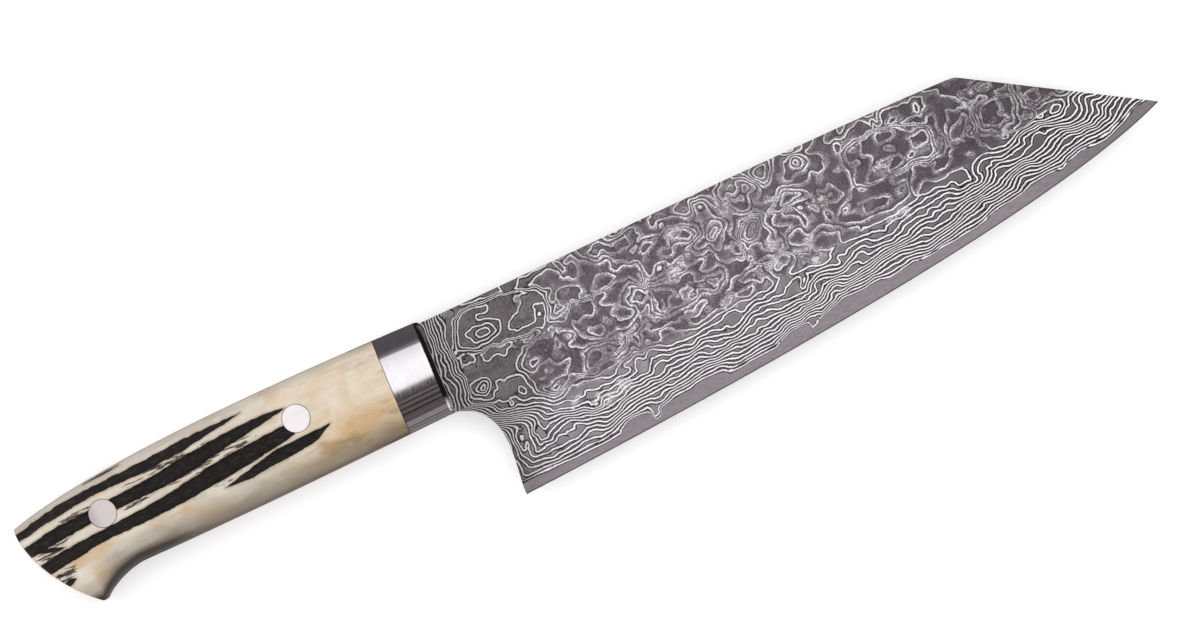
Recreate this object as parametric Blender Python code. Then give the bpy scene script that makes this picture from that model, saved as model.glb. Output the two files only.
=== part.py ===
"""Bunka kitchen knife: laminated blade with a full tang, two bolster halves, two jigged bone
scales and two cutler's rivets.

Everything is in metres. The knife lies on its left side: +X runs along the spine to the point,
+Y runs from the edge to the spine, and +Z is the thickness. The outline is drawn from a datum on
the spine line, just ahead of the bolster, and an empty then carries the whole knife so that the
centre of its underside is at the world's origin.
"""

import math

import bmesh
import bpy
import numpy as np
from mathutils import Matrix, Vector

# Blade outline: x ahead of the datum, depths below the spine line
BLADE_LENGTH = 0.1802
HEEL_SETBACK = 0.0060
HEEL_DEPTH = 0.0489
NECK_DEPTH = 0.0234
NECK_INSET = 0.0013
POINT_DROP = 0.0270
CLIP_RUN = 0.0430
CLIP_DROP = 0.0005
CLIP_RADIUS = 0.0040
SPINE_SAG = 0.0002
SPINE_CROWN = 0.0010
EDGE_HEEL_ANGLE = math.radians(2.6)
EDGE_POINT_ANGLE = math.radians(21.0)
EDGE_HEEL_PULL = 0.296
EDGE_POINT_PULL = 0.207
CHOIL_HOLLOW = 0.0013
CHOIL_LEVEL = 0.475

# Blade section
SPINE_THICKNESS = 0.0022
POINT_THICKNESS = 0.0012
CORE_THICKNESS = 0.00076
CORE_POINT_THICKNESS = 0.00054
WELD_GAP = 0.00002
BEVEL_HEIGHT = 0.0145
BEVEL_BREAK = 0.0060
BEVEL_FULLNESS = 0.00004
MICRO_BEVEL_HEIGHT = 0.0005
MICRO_BEVEL_THICKNESS = 0.0004

# Handle outline
HANDLE_LENGTH = 0.1110
BUTT_TOP_DROP = 0.0040
BUTT_FULLNESS = 0.0003
TOP_SWELL_REAR = 0.0016
TOP_SWELL_FRONT = 0.0023
BOLSTER_STEP = 0.0006
BELLY_DEPTH = 0.0239
BELLY_SWELL = 0.0009
HOOK_LENGTH = 0.0127
BEAK_SETBACK = 0.0133
BEAK_DEPTH = 0.0294
BEAK_RADIUS = 0.0011

# Handle section
HANDLE_THICKNESS = 0.0180
RIM_HEIGHT = 0.0015
TOP_ROUND = 0.0050
BELLY_ROUND = 0.0090
BUTT_ROUND = 0.0009
GLUE_GAP = 0.00005

# Bolster
BOLSTER_FRONT = -0.0004
BOLSTER_LENGTH = 0.0121
BOLSTER_LEAN = 0.038
BOLSTER_ROUND = 0.0012
BOLSTER_RIM_EASE = 0.0006
JOINT_GAP = 0.00015
PIN_RADIUS = 0.0015
PIN_LENGTH = 0.0120
PIN_CLEARANCE = 0.00005
PIN_END_GAP = 0.0002
UPPER_PIN_DEPTH = 0.0062
LOWER_PIN_DEPTH = 0.0172

# Rivets: each one is a stud pressed into a sleeve, with both heads flush in the bone
FRONT_RIVET_SETBACK = 0.0370
FRONT_RIVET_DEPTH = 0.0084
REAR_RIVET_SETBACK = 0.0894
REAR_RIVET_DEPTH = 0.0095
RIVET_HEAD_RADIUS = 0.00345
RIVET_HEAD_LENGTH = 0.0035
SLEEVE_RADIUS = 0.0025
STUD_RADIUS = 0.0015
RIVET_PRESS_GAP = 0.00005
RIVET_HOLE_CLEARANCE = 0.0001
RIVET_END_GAP = 0.0003

# Jigging: a groove is a list of (setback behind the datum, depth below the spine, width)
GROOVES = {
    "spine": (
        (0.0500, 0.0015, 0.0003), (0.0600, 0.0022, 0.0018), (0.0700, 0.0030, 0.0026),
        (0.0800, 0.0034, 0.0024), (0.0900, 0.0036, 0.0020), (0.1000, 0.0045, 0.0024),
        (0.1140, 0.0069, 0.0018),
    ),
    "upper": (
        (0.0390, 0.0050, 0.0004), (0.0450, 0.0052, 0.0020), (0.0550, 0.0060, 0.0031),
        (0.0650, 0.0072, 0.0041), (0.0750, 0.0082, 0.0036), (0.0850, 0.0086, 0.0031),
        (0.1000, 0.0095, 0.0035), (0.1140, 0.0110, 0.0026),
    ),
    "middle": (
        (0.0360, 0.0102, 0.0010), (0.0410, 0.0105, 0.0034), (0.0500, 0.0113, 0.0043),
        (0.0600, 0.0123, 0.0046), (0.0700, 0.0134, 0.0038), (0.0800, 0.0142, 0.0032),
        (0.0900, 0.0144, 0.0028), (0.1000, 0.0152, 0.0033), (0.1140, 0.0170, 0.0033),
    ),
    "belly": (
        (0.0305, 0.0130, 0.0003), (0.0350, 0.0142, 0.0024), (0.0400, 0.0145, 0.0030),
        (0.0460, 0.0150, 0.0030), (0.0530, 0.0160, 0.0020), (0.0593, 0.0165, 0.0003),
    ),
}
GROOVE_DEPTH_SHARE = 0.26

# Facets
EDGE_STEPS = 30
SPINE_STEPS = 12
CHOIL_STEPS = 9
HANDLE_STEP = 0.0070
HOOK_STEP = 0.0015
ROUND_STEPS = 7
BUTT_STEPS = 14
EASE_STEPS = 4
TURNED_SIDES = 40
GROOVE_SIDES = 10
SLOPE_REACH = 0.0002
SHARP_ANGLE = math.radians(28)
OVERCUT = 0.0040

# colour, roughness, metallic
MATERIALS = {
    "core_steel": ((0.42, 0.41, 0.42), 0.35, 1.0),
    "damascus_steel": ((0.22, 0.20, 0.21), 0.42, 1.0),
    "polished_steel": ((0.78, 0.77, 0.77), 0.10, 1.0),
    "jigged_bone": ((0.82, 0.72, 0.54), 0.38, 0.0),
}

POINT_X = HEEL_SETBACK + BLADE_LENGTH
CLIP_X = POINT_X - CLIP_RUN
JOINT_X = BOLSTER_FRONT - BOLSTER_LENGTH
BUTT_X = -HANDLE_LENGTH
BEAK_X = BUTT_X + BEAK_SETBACK
HOOK_X = BEAK_X + HOOK_LENGTH
HALF_HANDLE = HANDLE_THICKNESS / 2
HALF_TANG = SPINE_THICKNESS / 2
RIM_Z = HALF_TANG + RIM_HEIGHT


def bezier(start, pull_a, pull_b, end, steps):
    """Points of a cubic curve, both ends included."""
    found = []
    for i in range(steps + 1):
        t = i / steps
        weights = ((1 - t) ** 3, 3 * (1 - t) ** 2 * t, 3 * (1 - t) * t**2, t**3)
        corners = (start, pull_a, pull_b, end)
        found.append(tuple(sum(w * c[axis] for w, c in zip(weights, corners)) for axis in (0, 1)))
    return found


def rounded_corner(before, corner, after, radius, steps=6):
    """The arc that replaces a sharp corner of an outline."""
    corner = Vector(corner)
    to_before = (Vector(before) - corner).normalized()
    to_after = (Vector(after) - corner).normalized()
    half = to_before.angle(to_after) / 2
    centre = corner + (to_before + to_after).normalized() * radius / math.sin(half)
    first = corner + to_before * radius / math.tan(half) - centre
    last = corner + to_after * radius / math.tan(half) - centre
    turn = math.atan2(first.cross(last), first.dot(last))
    return [tuple(centre + Matrix.Rotation(turn * i / steps, 2) @ first) for i in range(steps + 1)]


def spaced(start, end, step):
    """Evenly spaced values from start to end, no further apart than step."""
    count = max(1, math.ceil(abs(end - start) / step))
    return [start + (end - start) * i / count for i in range(count + 1)]


# Blade outline

def edge_curve():
    """The cutting edge, from the heel to the point."""
    heel = (HEEL_SETBACK, -HEEL_DEPTH)
    point = (POINT_X, -POINT_DROP)
    heel_pull = EDGE_HEEL_PULL * BLADE_LENGTH
    point_pull = EDGE_POINT_PULL * BLADE_LENGTH
    after_heel = (
        heel[0] + heel_pull * math.cos(EDGE_HEEL_ANGLE),
        heel[1] + heel_pull * math.sin(EDGE_HEEL_ANGLE),
    )
    before_point = (
        point[0] - point_pull * math.cos(EDGE_POINT_ANGLE),
        point[1] - point_pull * math.sin(EDGE_POINT_ANGLE),
    )
    return bezier(heel, after_heel, before_point, point, EDGE_STEPS)


def spine_curve():
    """The spine from the neck to the clip, with the rounded corner where the clip begins."""
    length = CLIP_X + NECK_INSET
    clip = (CLIP_X, -CLIP_DROP)
    rear_pull = (-NECK_INSET + length * 0.35, -SPINE_SAG)
    front_pull = (-NECK_INSET + length * 0.70, SPINE_CROWN)
    spine = bezier((-NECK_INSET, 0.0), rear_pull, front_pull, clip, SPINE_STEPS)
    corner = rounded_corner(spine[-2], clip, (POINT_X, -POINT_DROP), CLIP_RADIUS)
    return spine[:-1] + corner


def choil_curve():
    """The hollow between the heel and the neck, from the heel up."""
    reach = HEEL_SETBACK + CHOIL_HOLLOW
    below = (HEEL_DEPTH - NECK_DEPTH) * (1 - CHOIL_LEVEL)
    above = (HEEL_DEPTH - NECK_DEPTH) * CHOIL_LEVEL
    level = -HEEL_DEPTH + below
    lower = bezier(
        (HEEL_SETBACK, -HEEL_DEPTH),
        (HEEL_SETBACK - CHOIL_HOLLOW * 0.3, -HEEL_DEPTH + below * 0.10),
        (reach, level - below * 0.34),
        (reach, level),
        CHOIL_STEPS,
    )
    upper = bezier(
        (reach, level),
        (reach, level + above * 0.57),
        (-NECK_INSET + (reach + NECK_INSET) * 0.61, -NECK_DEPTH - above * 0.095),
        (-NECK_INSET, -NECK_DEPTH),
        CHOIL_STEPS,
    )
    return lower + upper[1:]


def blade_outline():
    """The blade before grinding: it still carries spare metal past the edge and the point."""
    clip_slope = (POINT_DROP - CLIP_DROP) / CLIP_RUN
    past_point = (POINT_X + OVERCUT, -POINT_DROP - OVERCUT * clip_slope)
    spare = [(x, y - OVERCUT) for x, y in reversed(edge_curve())]
    spare[0] = (past_point[0], past_point[1] - OVERCUT)
    return spine_curve() + [past_point] + spare + choil_curve()


# Handle outline

TOP_LINE = bezier(
    (BUTT_X, -BUTT_TOP_DROP),
    (BUTT_X * 0.81, TOP_SWELL_REAR),
    (BUTT_X * 0.45, TOP_SWELL_FRONT),
    (0.0, BOLSTER_STEP),
    60,
)
BELLY_LINE = bezier(
    (0.0, -NECK_DEPTH),
    (HOOK_X * 0.34, -BELLY_DEPTH),
    (HOOK_X * 0.70, -BELLY_DEPTH - BELLY_SWELL),
    (HOOK_X, -BELLY_DEPTH),
    30,
)
HOOK_LINE = bezier(
    (HOOK_X, -BELLY_DEPTH),
    (HOOK_X - HOOK_LENGTH * 0.35, -BELLY_DEPTH - (BEAK_DEPTH - BELLY_DEPTH) * 0.07),
    (HOOK_X - HOOK_LENGTH * 0.74, -BELLY_DEPTH - (BEAK_DEPTH - BELLY_DEPTH) * 0.38),
    (BEAK_X, -BEAK_DEPTH),
    30,
)


def top_at(x):
    """The handle's top line, which runs on straight past the butt."""
    if x < BUTT_X:
        (x0, y0), (x1, y1) = TOP_LINE[:2]
        return y0 + (y1 - y0) / (x1 - x0) * (x - x0)
    return float(np.interp(x, [p[0] for p in TOP_LINE], [p[1] for p in TOP_LINE]))


def belly_at(x):
    """The handle's belly and hook, which run on down past the beak."""
    if x < BEAK_X:
        return -BEAK_DEPTH - min(BEAK_X - x, OVERCUT)
    line = list(reversed(BELLY_LINE + HOOK_LINE[1:]))
    return float(np.interp(x, [p[0] for p in line], [p[1] for p in line]))


def rims_at(x):
    """The top and belly of the handle's cross-section at x, as two y values."""
    return top_at(x), belly_at(x + BOLSTER_LEAN * belly_at(x))


def leaned(x, y):
    """Cross-sections lean as the bolster does: their lower end lies further back."""
    return (x + BOLSTER_LEAN * y, y)


def handle_stations(start):
    """Where the handle's cross-sections stand, from start back past the butt."""
    hook_end = BEAK_X - 2 * HOOK_STEP
    body = spaced(start, HOOK_X, HANDLE_STEP)
    hook = spaced(HOOK_X, hook_end, HOOK_STEP)
    end = spaced(hook_end, BUTT_X - OVERCUT, HANDLE_STEP)
    return body + hook[1:] + end[1:]


def tang_outline():
    """The tang, flush with the handle all round. It runs past the butt, which is cut afterwards."""
    rims = [(x, *rims_at(x)) for x in handle_stations(JOINT_X)]
    top = [leaned(x, top) for x, top, _ in rims]
    belly = [leaned(x, belly) for x, _, belly in rims]
    step = (-NECK_INSET - JOINT_GAP, top_at(-NECK_INSET))
    neck = (-NECK_INSET, -NECK_DEPTH)
    return [(-NECK_INSET, 0.0), step] + top + belly[::-1] + [neck]


# Handle section

def face_profile(top, belly):
    """(y, z) points over the handle's outer face, from the belly rim to the top rim."""
    crown = HALF_HANDLE - RIM_Z
    angles = [math.pi / 2 * i / ROUND_STEPS for i in range(ROUND_STEPS + 1)]
    lower = [(belly + BELLY_ROUND * (1 - math.cos(a)), RIM_Z + crown * math.sin(a)) for a in angles]
    upper = [(top - TOP_ROUND * (1 - math.cos(a)), RIM_Z + crown * math.sin(a)) for a in angles]
    return lower + upper[::-1]


def face_height(x, y):
    """Height of the handle's outer face over the knife's middle plane."""
    top, belly = top_at(x), belly_at(x)
    shares = (min((top - y) / TOP_ROUND, 1.0), min((y - belly) / BELLY_ROUND, 1.0))
    rise = min(math.sqrt(1 - (1 - max(share, 0.0)) ** 2) for share in shares)
    return RIM_Z + (HALF_HANDLE - RIM_Z) * rise


def handle_ring(x, side, ease=0.0, sink=0.0):
    """One cross-section of a bolster or scale. ease and sink draw it in at a rounded end."""
    top, belly = rims_at(x)
    inner = HALF_TANG + GLUE_GAP
    profile = [(y, z - sink) for y, z in face_profile(top - ease, belly + ease)]
    profile = [(belly + ease, inner)] + profile + [(top - ease, inner)]
    return [Vector((*leaned(x, y), side * z)) for y, z in profile]


# Mesh helpers

def new_object(name, bm, knife):
    bmesh.ops.recalc_face_normals(bm, faces=bm.faces)
    mesh = bpy.data.meshes.new(name)
    bm.to_mesh(mesh)
    bm.free()
    obj = bpy.data.objects.new(name, mesh)
    obj.parent = knife
    bpy.context.scene.collection.objects.link(obj)
    return obj


def bridge(bm, first, second):
    """Faces between two loops of vertices, either of which may be a single one."""
    count = max(len(first), len(second))
    for i in range(count):
        j = (i + 1) % count
        corners = [first[i % len(first)], first[j % len(first)]]
        corners += [second[j % len(second)], second[i % len(second)]]
        bm.faces.new(dict.fromkeys(corners))


def loft(name, rings, knife):
    """A closed solid through rings of as many points each, with flat ends."""
    bm = bmesh.new()
    loops = [[bm.verts.new(p) for p in ring] for ring in rings]
    for first, second in zip(loops, loops[1:]):
        bridge(bm, first, second)
    bm.faces.new(loops[0])
    bm.faces.new(loops[-1])
    return new_object(name, bm, knife)


def turned(name, profile, place, knife):
    """A solid of revolution through the thickness, from (radius, z) points that end on the axis."""
    bm = bmesh.new()
    loops = []
    for radius, z in profile:
        turns = range(TURNED_SIDES if radius else 1)
        angles = [2 * math.pi * i / TURNED_SIDES for i in turns]
        loops.append([
            bm.verts.new((place[0] + radius * math.cos(a), place[1] + radius * math.sin(a), z))
            for a in angles
        ])
    for first, second in zip(loops, loops[1:]):
        bridge(bm, first, second)
    return new_object(name, bm, knife)


def plate(name, low, high, knife):
    """The blade and tang outlines as one solid, between two heights that depend on x."""
    bm = bmesh.new()
    outlines = (blade_outline(), tang_outline())
    layers = []
    for height in (low, high):
        corners = {p: None for outline in outlines for p in outline}
        for p in corners:
            corners[p] = bm.verts.new((*p, height(p[0])))
        layers.append(corners)
        for outline in outlines:
            bm.faces.new([corners[p] for p in outline])
    for outline in outlines:
        for p, q in zip(outline, outline[1:]):
            bm.faces.new([layers[0][p], layers[0][q], layers[1][q], layers[1][p]])
    return new_object(name, bm, knife)


def as_cutter(obj):
    obj.hide_render = True
    obj.display_type = "WIRE"
    return obj


def cut(obj, cutters):
    for cutter in cutters:
        modifier = obj.modifiers.new(cutter.name, "BOOLEAN")
        modifier.operation = "DIFFERENCE"
        modifier.object = cutter


def finish(obj, material_name):
    """Applies the cuts, then gives the piece its material and its sharp edges."""
    graph = bpy.context.evaluated_depsgraph_get()
    mesh = bpy.data.meshes.new_from_object(obj.evaluated_get(graph))
    obj.modifiers.clear()
    obj.data = mesh
    mesh.name = obj.name
    mesh.shade_smooth()
    mesh.set_sharp_from_angle(angle=SHARP_ANGLE)
    material = bpy.data.materials.get(material_name)
    if material is None:
        colour, roughness, metallic = MATERIALS[material_name]
        material = bpy.data.materials.new(material_name)
        material.use_nodes = True
        shader = material.node_tree.nodes["Principled BSDF"]
        shader.inputs["Base Color"].default_value = (*colour, 1.0)
        shader.inputs["Roughness"].default_value = roughness
        shader.inputs["Metallic"].default_value = metallic
    mesh.materials.clear()
    mesh.materials.append(material)


# Blade

def half_thickness(x, thickness, point_thickness):
    """Half of a layer: even along the tang, then tapering in a straight line to the point."""
    forward = max(0.0, x + NECK_INSET) / (POINT_X + NECK_INSET)
    return (thickness + (point_thickness - thickness) * forward) / 2


def half_blade(x):
    return half_thickness(x, SPINE_THICKNESS, POINT_THICKNESS)


def half_core(x):
    return half_thickness(x, CORE_THICKNESS, CORE_POINT_THICKNESS)


def bevel_ring(place, along):
    """What grinding takes away over one point of the edge: all round a wedge that ends there."""
    inward = Vector((-along.y, along.x))
    full = half_blade((place + inward * BEVEL_HEIGHT).x)
    micro = MICRO_BEVEL_THICKNESS / 2
    rise = (full - micro) / (BEVEL_HEIGHT - MICRO_BEVEL_HEIGHT)
    middle = micro + rise * (BEVEL_BREAK - MICRO_BEVEL_HEIGHT) + BEVEL_FULLNESS
    upper_rise = (full - middle) / (BEVEL_HEIGHT - BEVEL_BREAK)
    reach = BEVEL_HEIGHT + OVERCUT
    right = [
        (-3 * OVERCUT, full + OVERCUT),
        (reach, full + OVERCUT),
        (reach, full + upper_rise * OVERCUT),
        (BEVEL_BREAK, middle),
        (MICRO_BEVEL_HEIGHT, micro),
    ]
    left = [(up, -z) for up, z in reversed(right)]
    return [Vector((*(place + inward * up), z)) for up, z in right + [(0.0, 0.0)] + left]


def bevel_cutter(knife):
    edge = [Vector(p) for p in edge_curve()]
    first = (edge[1] - edge[0]).normalized()
    last = (edge[-1] - edge[-2]).normalized()
    places = [edge[0] - first * OVERCUT] + edge + [edge[-1] + last * 2 * OVERCUT]
    rings = []
    for i, place in enumerate(places):
        before, after = places[max(i - 1, 0)], places[min(i + 1, len(places) - 1)]
        rings.append(bevel_ring(place, (after - before).normalized()))
    return as_cutter(loft("bevel_cutter", rings, knife))


def butt_path():
    """The line of the butt from the top down, round the beak and clear of the hook."""
    drop = BEAK_DEPTH - BUTT_TOP_DROP
    curve = [Vector(p) for p in bezier(
        (BUTT_X, -BUTT_TOP_DROP),
        (BUTT_X - BUTT_FULLNESS, -BUTT_TOP_DROP - drop * 0.40),
        (BUTT_X + BEAK_SETBACK * 0.53, -BEAK_DEPTH + drop * 0.22),
        (BEAK_X, -BEAK_DEPTH),
        BUTT_STEPS,
    )]
    heading = (curve[-1] - curve[-2]).normalized()
    place = curve[-1] - heading * BEAK_RADIUS
    path = [curve[0] + Vector((0, OVERCUT))] + curve[:-1] + [place]
    turn = math.radians(15)
    for _ in range(4):
        heading = Matrix.Rotation(turn, 2) @ heading
        place = place + heading * BEAK_RADIUS * turn
        path.append(place)
    path.append(place + heading * 2 * OVERCUT)
    return path


def butt_cutter(knife):
    """Everything behind the butt, with its edge rounded over on both faces."""
    reach = HALF_HANDLE + OVERCUT
    angles = [math.pi / 2 * i / EASE_STEPS for i in range(EASE_STEPS + 1)]
    upper = [(-BUTT_ROUND, reach)] + [
        (-BUTT_ROUND * (1 - math.sin(a)), HALF_HANDLE - BUTT_ROUND * (1 - math.cos(a))) for a in angles
    ]
    lower = [(out, -z) for out, z in reversed(upper)]
    outer = BEAK_SETBACK + 3 * OVERCUT
    profile = upper + lower + [(outer, -reach), (outer, reach)]
    path = butt_path()
    rings = []
    for i, place in enumerate(path):
        before, after = path[max(i - 1, 0)], path[min(i + 1, len(path) - 1)]
        along = (after - before).normalized()
        outward = Vector((along.y, -along.x))
        rings.append([Vector((*(place + outward * out), z)) for out, z in profile])
    return as_cutter(loft("butt_cutter", rings, knife))


def rivet_places():
    return {
        "front": (-FRONT_RIVET_SETBACK, -FRONT_RIVET_DEPTH),
        "rear": (-REAR_RIVET_SETBACK, -REAR_RIVET_DEPTH),
    }


def pin_places():
    middle = BOLSTER_FRONT - BOLSTER_LENGTH / 2
    return {
        "upper": leaned(middle, -UPPER_PIN_DEPTH),
        "lower": leaned(middle, -LOWER_PIN_DEPTH),
    }


def rivet_drill(name, place, knife):
    """The stepped hole for a rivet, through both scales and the tang."""
    head = RIVET_HEAD_RADIUS + RIVET_HOLE_CLEARANCE
    shank = SLEEVE_RADIUS + RIVET_HOLE_CLEARANCE
    seat = HALF_HANDLE - RIVET_HEAD_LENGTH - RIVET_HOLE_CLEARANCE
    reach = HALF_HANDLE + OVERCUT
    upper = ((shank, seat), (head, seat), (head, reach), (0, reach))
    profile = [(radius, -z) for radius, z in reversed(upper)] + list(upper)
    return as_cutter(turned(name, profile, place, knife))


def pin_drill(name, place, knife):
    radius = PIN_RADIUS + PIN_CLEARANCE
    reach = PIN_LENGTH / 2 + PIN_END_GAP
    profile = ((0, -reach), (radius, -reach), (radius, reach), (0, reach))
    return as_cutter(turned(name, profile, place, knife))


def make_blade(cutters, knife):
    def skin(x):
        return half_core(x) + WELD_GAP

    core = plate("blade_core", lambda x: -half_core(x), half_core, knife)
    right = plate("cladding_right", skin, half_blade, knife)
    left = plate("cladding_left", lambda x: -half_blade(x), lambda x: -skin(x), knife)
    for layer, material in ((core, "core_steel"), (right, "damascus_steel"), (left, "damascus_steel")):
        cut(layer, cutters)
        finish(layer, material)


# Handle

def make_bolster(name, side, drills, knife):
    rings = []
    for i in range(EASE_STEPS + 1):
        angle = math.pi / 2 * i / EASE_STEPS
        x = BOLSTER_FRONT - BOLSTER_ROUND * (1 - math.cos(angle))
        left = 1 - math.sin(angle)
        rings.append(handle_ring(x, side, BOLSTER_RIM_EASE * left, BOLSTER_ROUND * left))
    rings.append(handle_ring(JOINT_X, side))
    bolster = loft(name, rings, knife)
    cut(bolster, drills)
    finish(bolster, "polished_steel")


def groove_cutter(name, track, side, knife):
    """A gouge that follows the handle's face: a tube whose lower side sinks into the bone."""
    places = [Vector((-setback, -drop, face_height(-setback, -drop))) for setback, drop, _ in track]
    rings = []
    for i, (place, (_, _, width)) in enumerate(zip(places, track)):
        above, below = place.y + SLOPE_REACH, place.y - SLOPE_REACH
        rise = face_height(place.x, above) - face_height(place.x, below)
        normal = Vector((0, -rise / (2 * SLOPE_REACH), 1)).normalized()
        along = (places[min(i + 1, len(places) - 1)] - places[max(i - 1, 0)]).normalized()
        across = along.cross(normal).normalized()
        depth = GROOVE_DEPTH_SHARE * width
        radius = (width**2 / 4 + depth**2) / (2 * depth)
        centre = place + normal * (radius - depth)
        ring = []
        for k in range(GROOVE_SIDES):
            angle = 2 * math.pi * (k + 0.5) / GROOVE_SIDES
            p = centre + radius * (math.cos(angle) * across + math.sin(angle) * normal)
            ring.append(Vector((p.x, p.y, side * p.z)))
        rings.append(ring)
    return as_cutter(loft(name, rings, knife))


def make_scale(name, side, cutters, knife):
    rings = [handle_ring(x, side) for x in handle_stations(JOINT_X - JOINT_GAP)]
    scale = loft(name, rings, knife)
    jigging = [groove_cutter(f"{name}_{key}_groove", track, side, knife) for key, track in GROOVES.items()]
    cut(scale, cutters + jigging)
    finish(scale, "jigged_bone")


def make_pin(name, place, knife):
    half = PIN_LENGTH / 2
    profile = ((0, -half), (PIN_RADIUS, -half), (PIN_RADIUS, half), (0, half))
    finish(turned(name, profile, place, knife), "core_steel")


def make_rivet(name, place, knife):
    """The sleeve's head is in the left scale and the stud's head in the right one."""
    shoulder = HALF_HANDLE - RIVET_HEAD_LENGTH
    bore = STUD_RADIUS + RIVET_PRESS_GAP
    sleeve_end = shoulder - RIVET_END_GAP
    stud_end = -shoulder
    sleeve = (
        (0, -HALF_HANDLE),
        (RIVET_HEAD_RADIUS, -HALF_HANDLE),
        (RIVET_HEAD_RADIUS, -shoulder),
        (SLEEVE_RADIUS, -shoulder),
        (SLEEVE_RADIUS, sleeve_end),
        (bore, sleeve_end),
        (bore, stud_end - RIVET_END_GAP),
        (0, stud_end - RIVET_END_GAP),
    )
    stud = (
        (0, stud_end),
        (STUD_RADIUS, stud_end),
        (STUD_RADIUS, shoulder),
        (RIVET_HEAD_RADIUS, shoulder),
        (RIVET_HEAD_RADIUS, HALF_HANDLE),
        (0, HALF_HANDLE),
    )
    finish(turned(f"{name}_sleeve", sleeve, place, knife), "polished_steel")
    finish(turned(f"{name}_stud", stud, place, knife), "polished_steel")


def outline_centre():
    """The middle of the knife's outline, seen from above."""
    butt_x = min(p.x for p in butt_path()[1:-1])
    tops = [top_at(x) for x in spaced(BUTT_X, 0.0, HOOK_STEP)] + [y for _, y in spine_curve()]
    return ((butt_x + POINT_X) / 2, (max(tops) - HEEL_DEPTH) / 2)


def main():
    for old in list(bpy.data.objects):
        bpy.data.objects.remove(old)
    knife = bpy.data.objects.new("knife", None)
    bpy.context.scene.collection.objects.link(knife)
    middle = outline_centre()
    knife.location = (-middle[0], -middle[1], HALF_HANDLE)

    bevel = bevel_cutter(knife)
    butt = butt_cutter(knife)
    rivet_drills = [rivet_drill(f"{key}_rivet_drill", p, knife) for key, p in rivet_places().items()]
    pin_drills = [pin_drill(f"{key}_pin_drill", p, knife) for key, p in pin_places().items()]

    make_blade([bevel, butt, *rivet_drills, *pin_drills], knife)
    for side_name, side in (("right", 1), ("left", -1)):
        make_bolster(f"bolster_{side_name}", side, pin_drills, knife)
        make_scale(f"scale_{side_name}", side, [butt, *rivet_drills], knife)
    for key, place in pin_places().items():
        make_pin(f"bolster_pin_{key}", place, knife)
    for key, place in rivet_places().items():
        make_rivet(f"rivet_{key}", place, knife)
    bpy.context.view_layer.update()


main()
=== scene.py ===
import math

import bpy
import numpy as np
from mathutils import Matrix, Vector


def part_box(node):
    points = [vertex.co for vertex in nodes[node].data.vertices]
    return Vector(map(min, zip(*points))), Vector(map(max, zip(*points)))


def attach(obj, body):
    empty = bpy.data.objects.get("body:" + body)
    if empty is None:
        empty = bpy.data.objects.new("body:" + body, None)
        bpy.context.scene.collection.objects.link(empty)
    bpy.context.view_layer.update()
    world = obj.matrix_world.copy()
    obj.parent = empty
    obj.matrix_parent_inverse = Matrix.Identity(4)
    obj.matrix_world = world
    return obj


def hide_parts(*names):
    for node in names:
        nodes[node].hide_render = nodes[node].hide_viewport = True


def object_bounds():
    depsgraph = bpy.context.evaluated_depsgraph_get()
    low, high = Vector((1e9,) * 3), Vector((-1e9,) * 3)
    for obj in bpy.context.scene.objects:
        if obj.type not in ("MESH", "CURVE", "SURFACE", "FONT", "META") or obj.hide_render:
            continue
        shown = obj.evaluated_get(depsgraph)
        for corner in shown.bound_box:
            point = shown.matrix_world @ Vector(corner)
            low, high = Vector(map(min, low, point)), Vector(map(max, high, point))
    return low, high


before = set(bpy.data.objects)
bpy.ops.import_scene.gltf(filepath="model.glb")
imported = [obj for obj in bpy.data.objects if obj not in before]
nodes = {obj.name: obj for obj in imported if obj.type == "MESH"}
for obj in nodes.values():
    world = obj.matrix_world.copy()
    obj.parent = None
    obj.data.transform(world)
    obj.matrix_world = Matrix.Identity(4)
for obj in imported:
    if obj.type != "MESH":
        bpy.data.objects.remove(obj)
cadLow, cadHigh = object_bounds()
print("frame loaded,", len(nodes), "nodes")

# The knife lies on its left side. Sizes in the dictionaries are millimetres in the knife's own drawing:
# x runs from the bolster's front to the point, y from the edge up to the spine line, z out of the right side.
mm = 0.001
weldDistance = 1e-6  # in metres
drillSides = 64
curvePoints = 60

knife = {
    "pointX": 186.2,
    "heelX": 6.0,
    "heelDepth": 48.9,
    "neckX": -1.3,
    "neckDepth": 23.4,
    "spineThickness": 2.2,
    "pointThickness": 1.2,
}

coreLow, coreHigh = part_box("blade_core")
datum = Vector((
    coreHigh.x - knife["pointX"] * mm,
    coreLow.y + knife["heelDepth"] * mm,
    (coreLow.z + coreHigh.z) / 2,
))


def toWorld(points):  # drawing millimetres to the frame's metres
    return np.asarray(points, float) * mm + np.array(datum)


def insideBox(points):  # nothing reaches past the solids' own box
    return np.clip(points, np.array(cadLow), np.array(cadHigh))


def heading(turn):  # the direction at so many degrees
    return np.array([math.cos(math.radians(turn)), math.sin(math.radians(turn))])


def aroundCentre(x, y, turn):  # along and across a turned shape, from offsets to its middle
    c, s = heading(turn)
    return x * c + y * s, y * c - x * s


# modelling helpers


def pick(piece):  # the one selected and active object
    bpy.ops.object.select_all(action="DESELECT")
    piece.select_set(True)
    bpy.context.view_layer.objects.active = piece


def readAll(elements, key, width=1, kind=float):  # one property of every element
    found = np.empty(len(elements) * width, kind)
    elements.foreach_get(key, found)
    return found.reshape(-1, width) if width > 1 else found


def coordinates(piece):  # every vertex in drawing millimetres
    return (readAll(piece.data.vertices, "co", 3) - np.array(datum)) / mm


def place(piece, points):
    piece.data.vertices.foreach_set("co", insideBox(toWorld(points)).ravel())
    piece.data.update()


def addShape(operator, name=None, **settings):
    bpy.ops.object.select_all(action="DESELECT")
    operator(**settings)
    piece = bpy.context.object
    if name:
        piece.name = piece.data.name = name
    return piece


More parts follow.
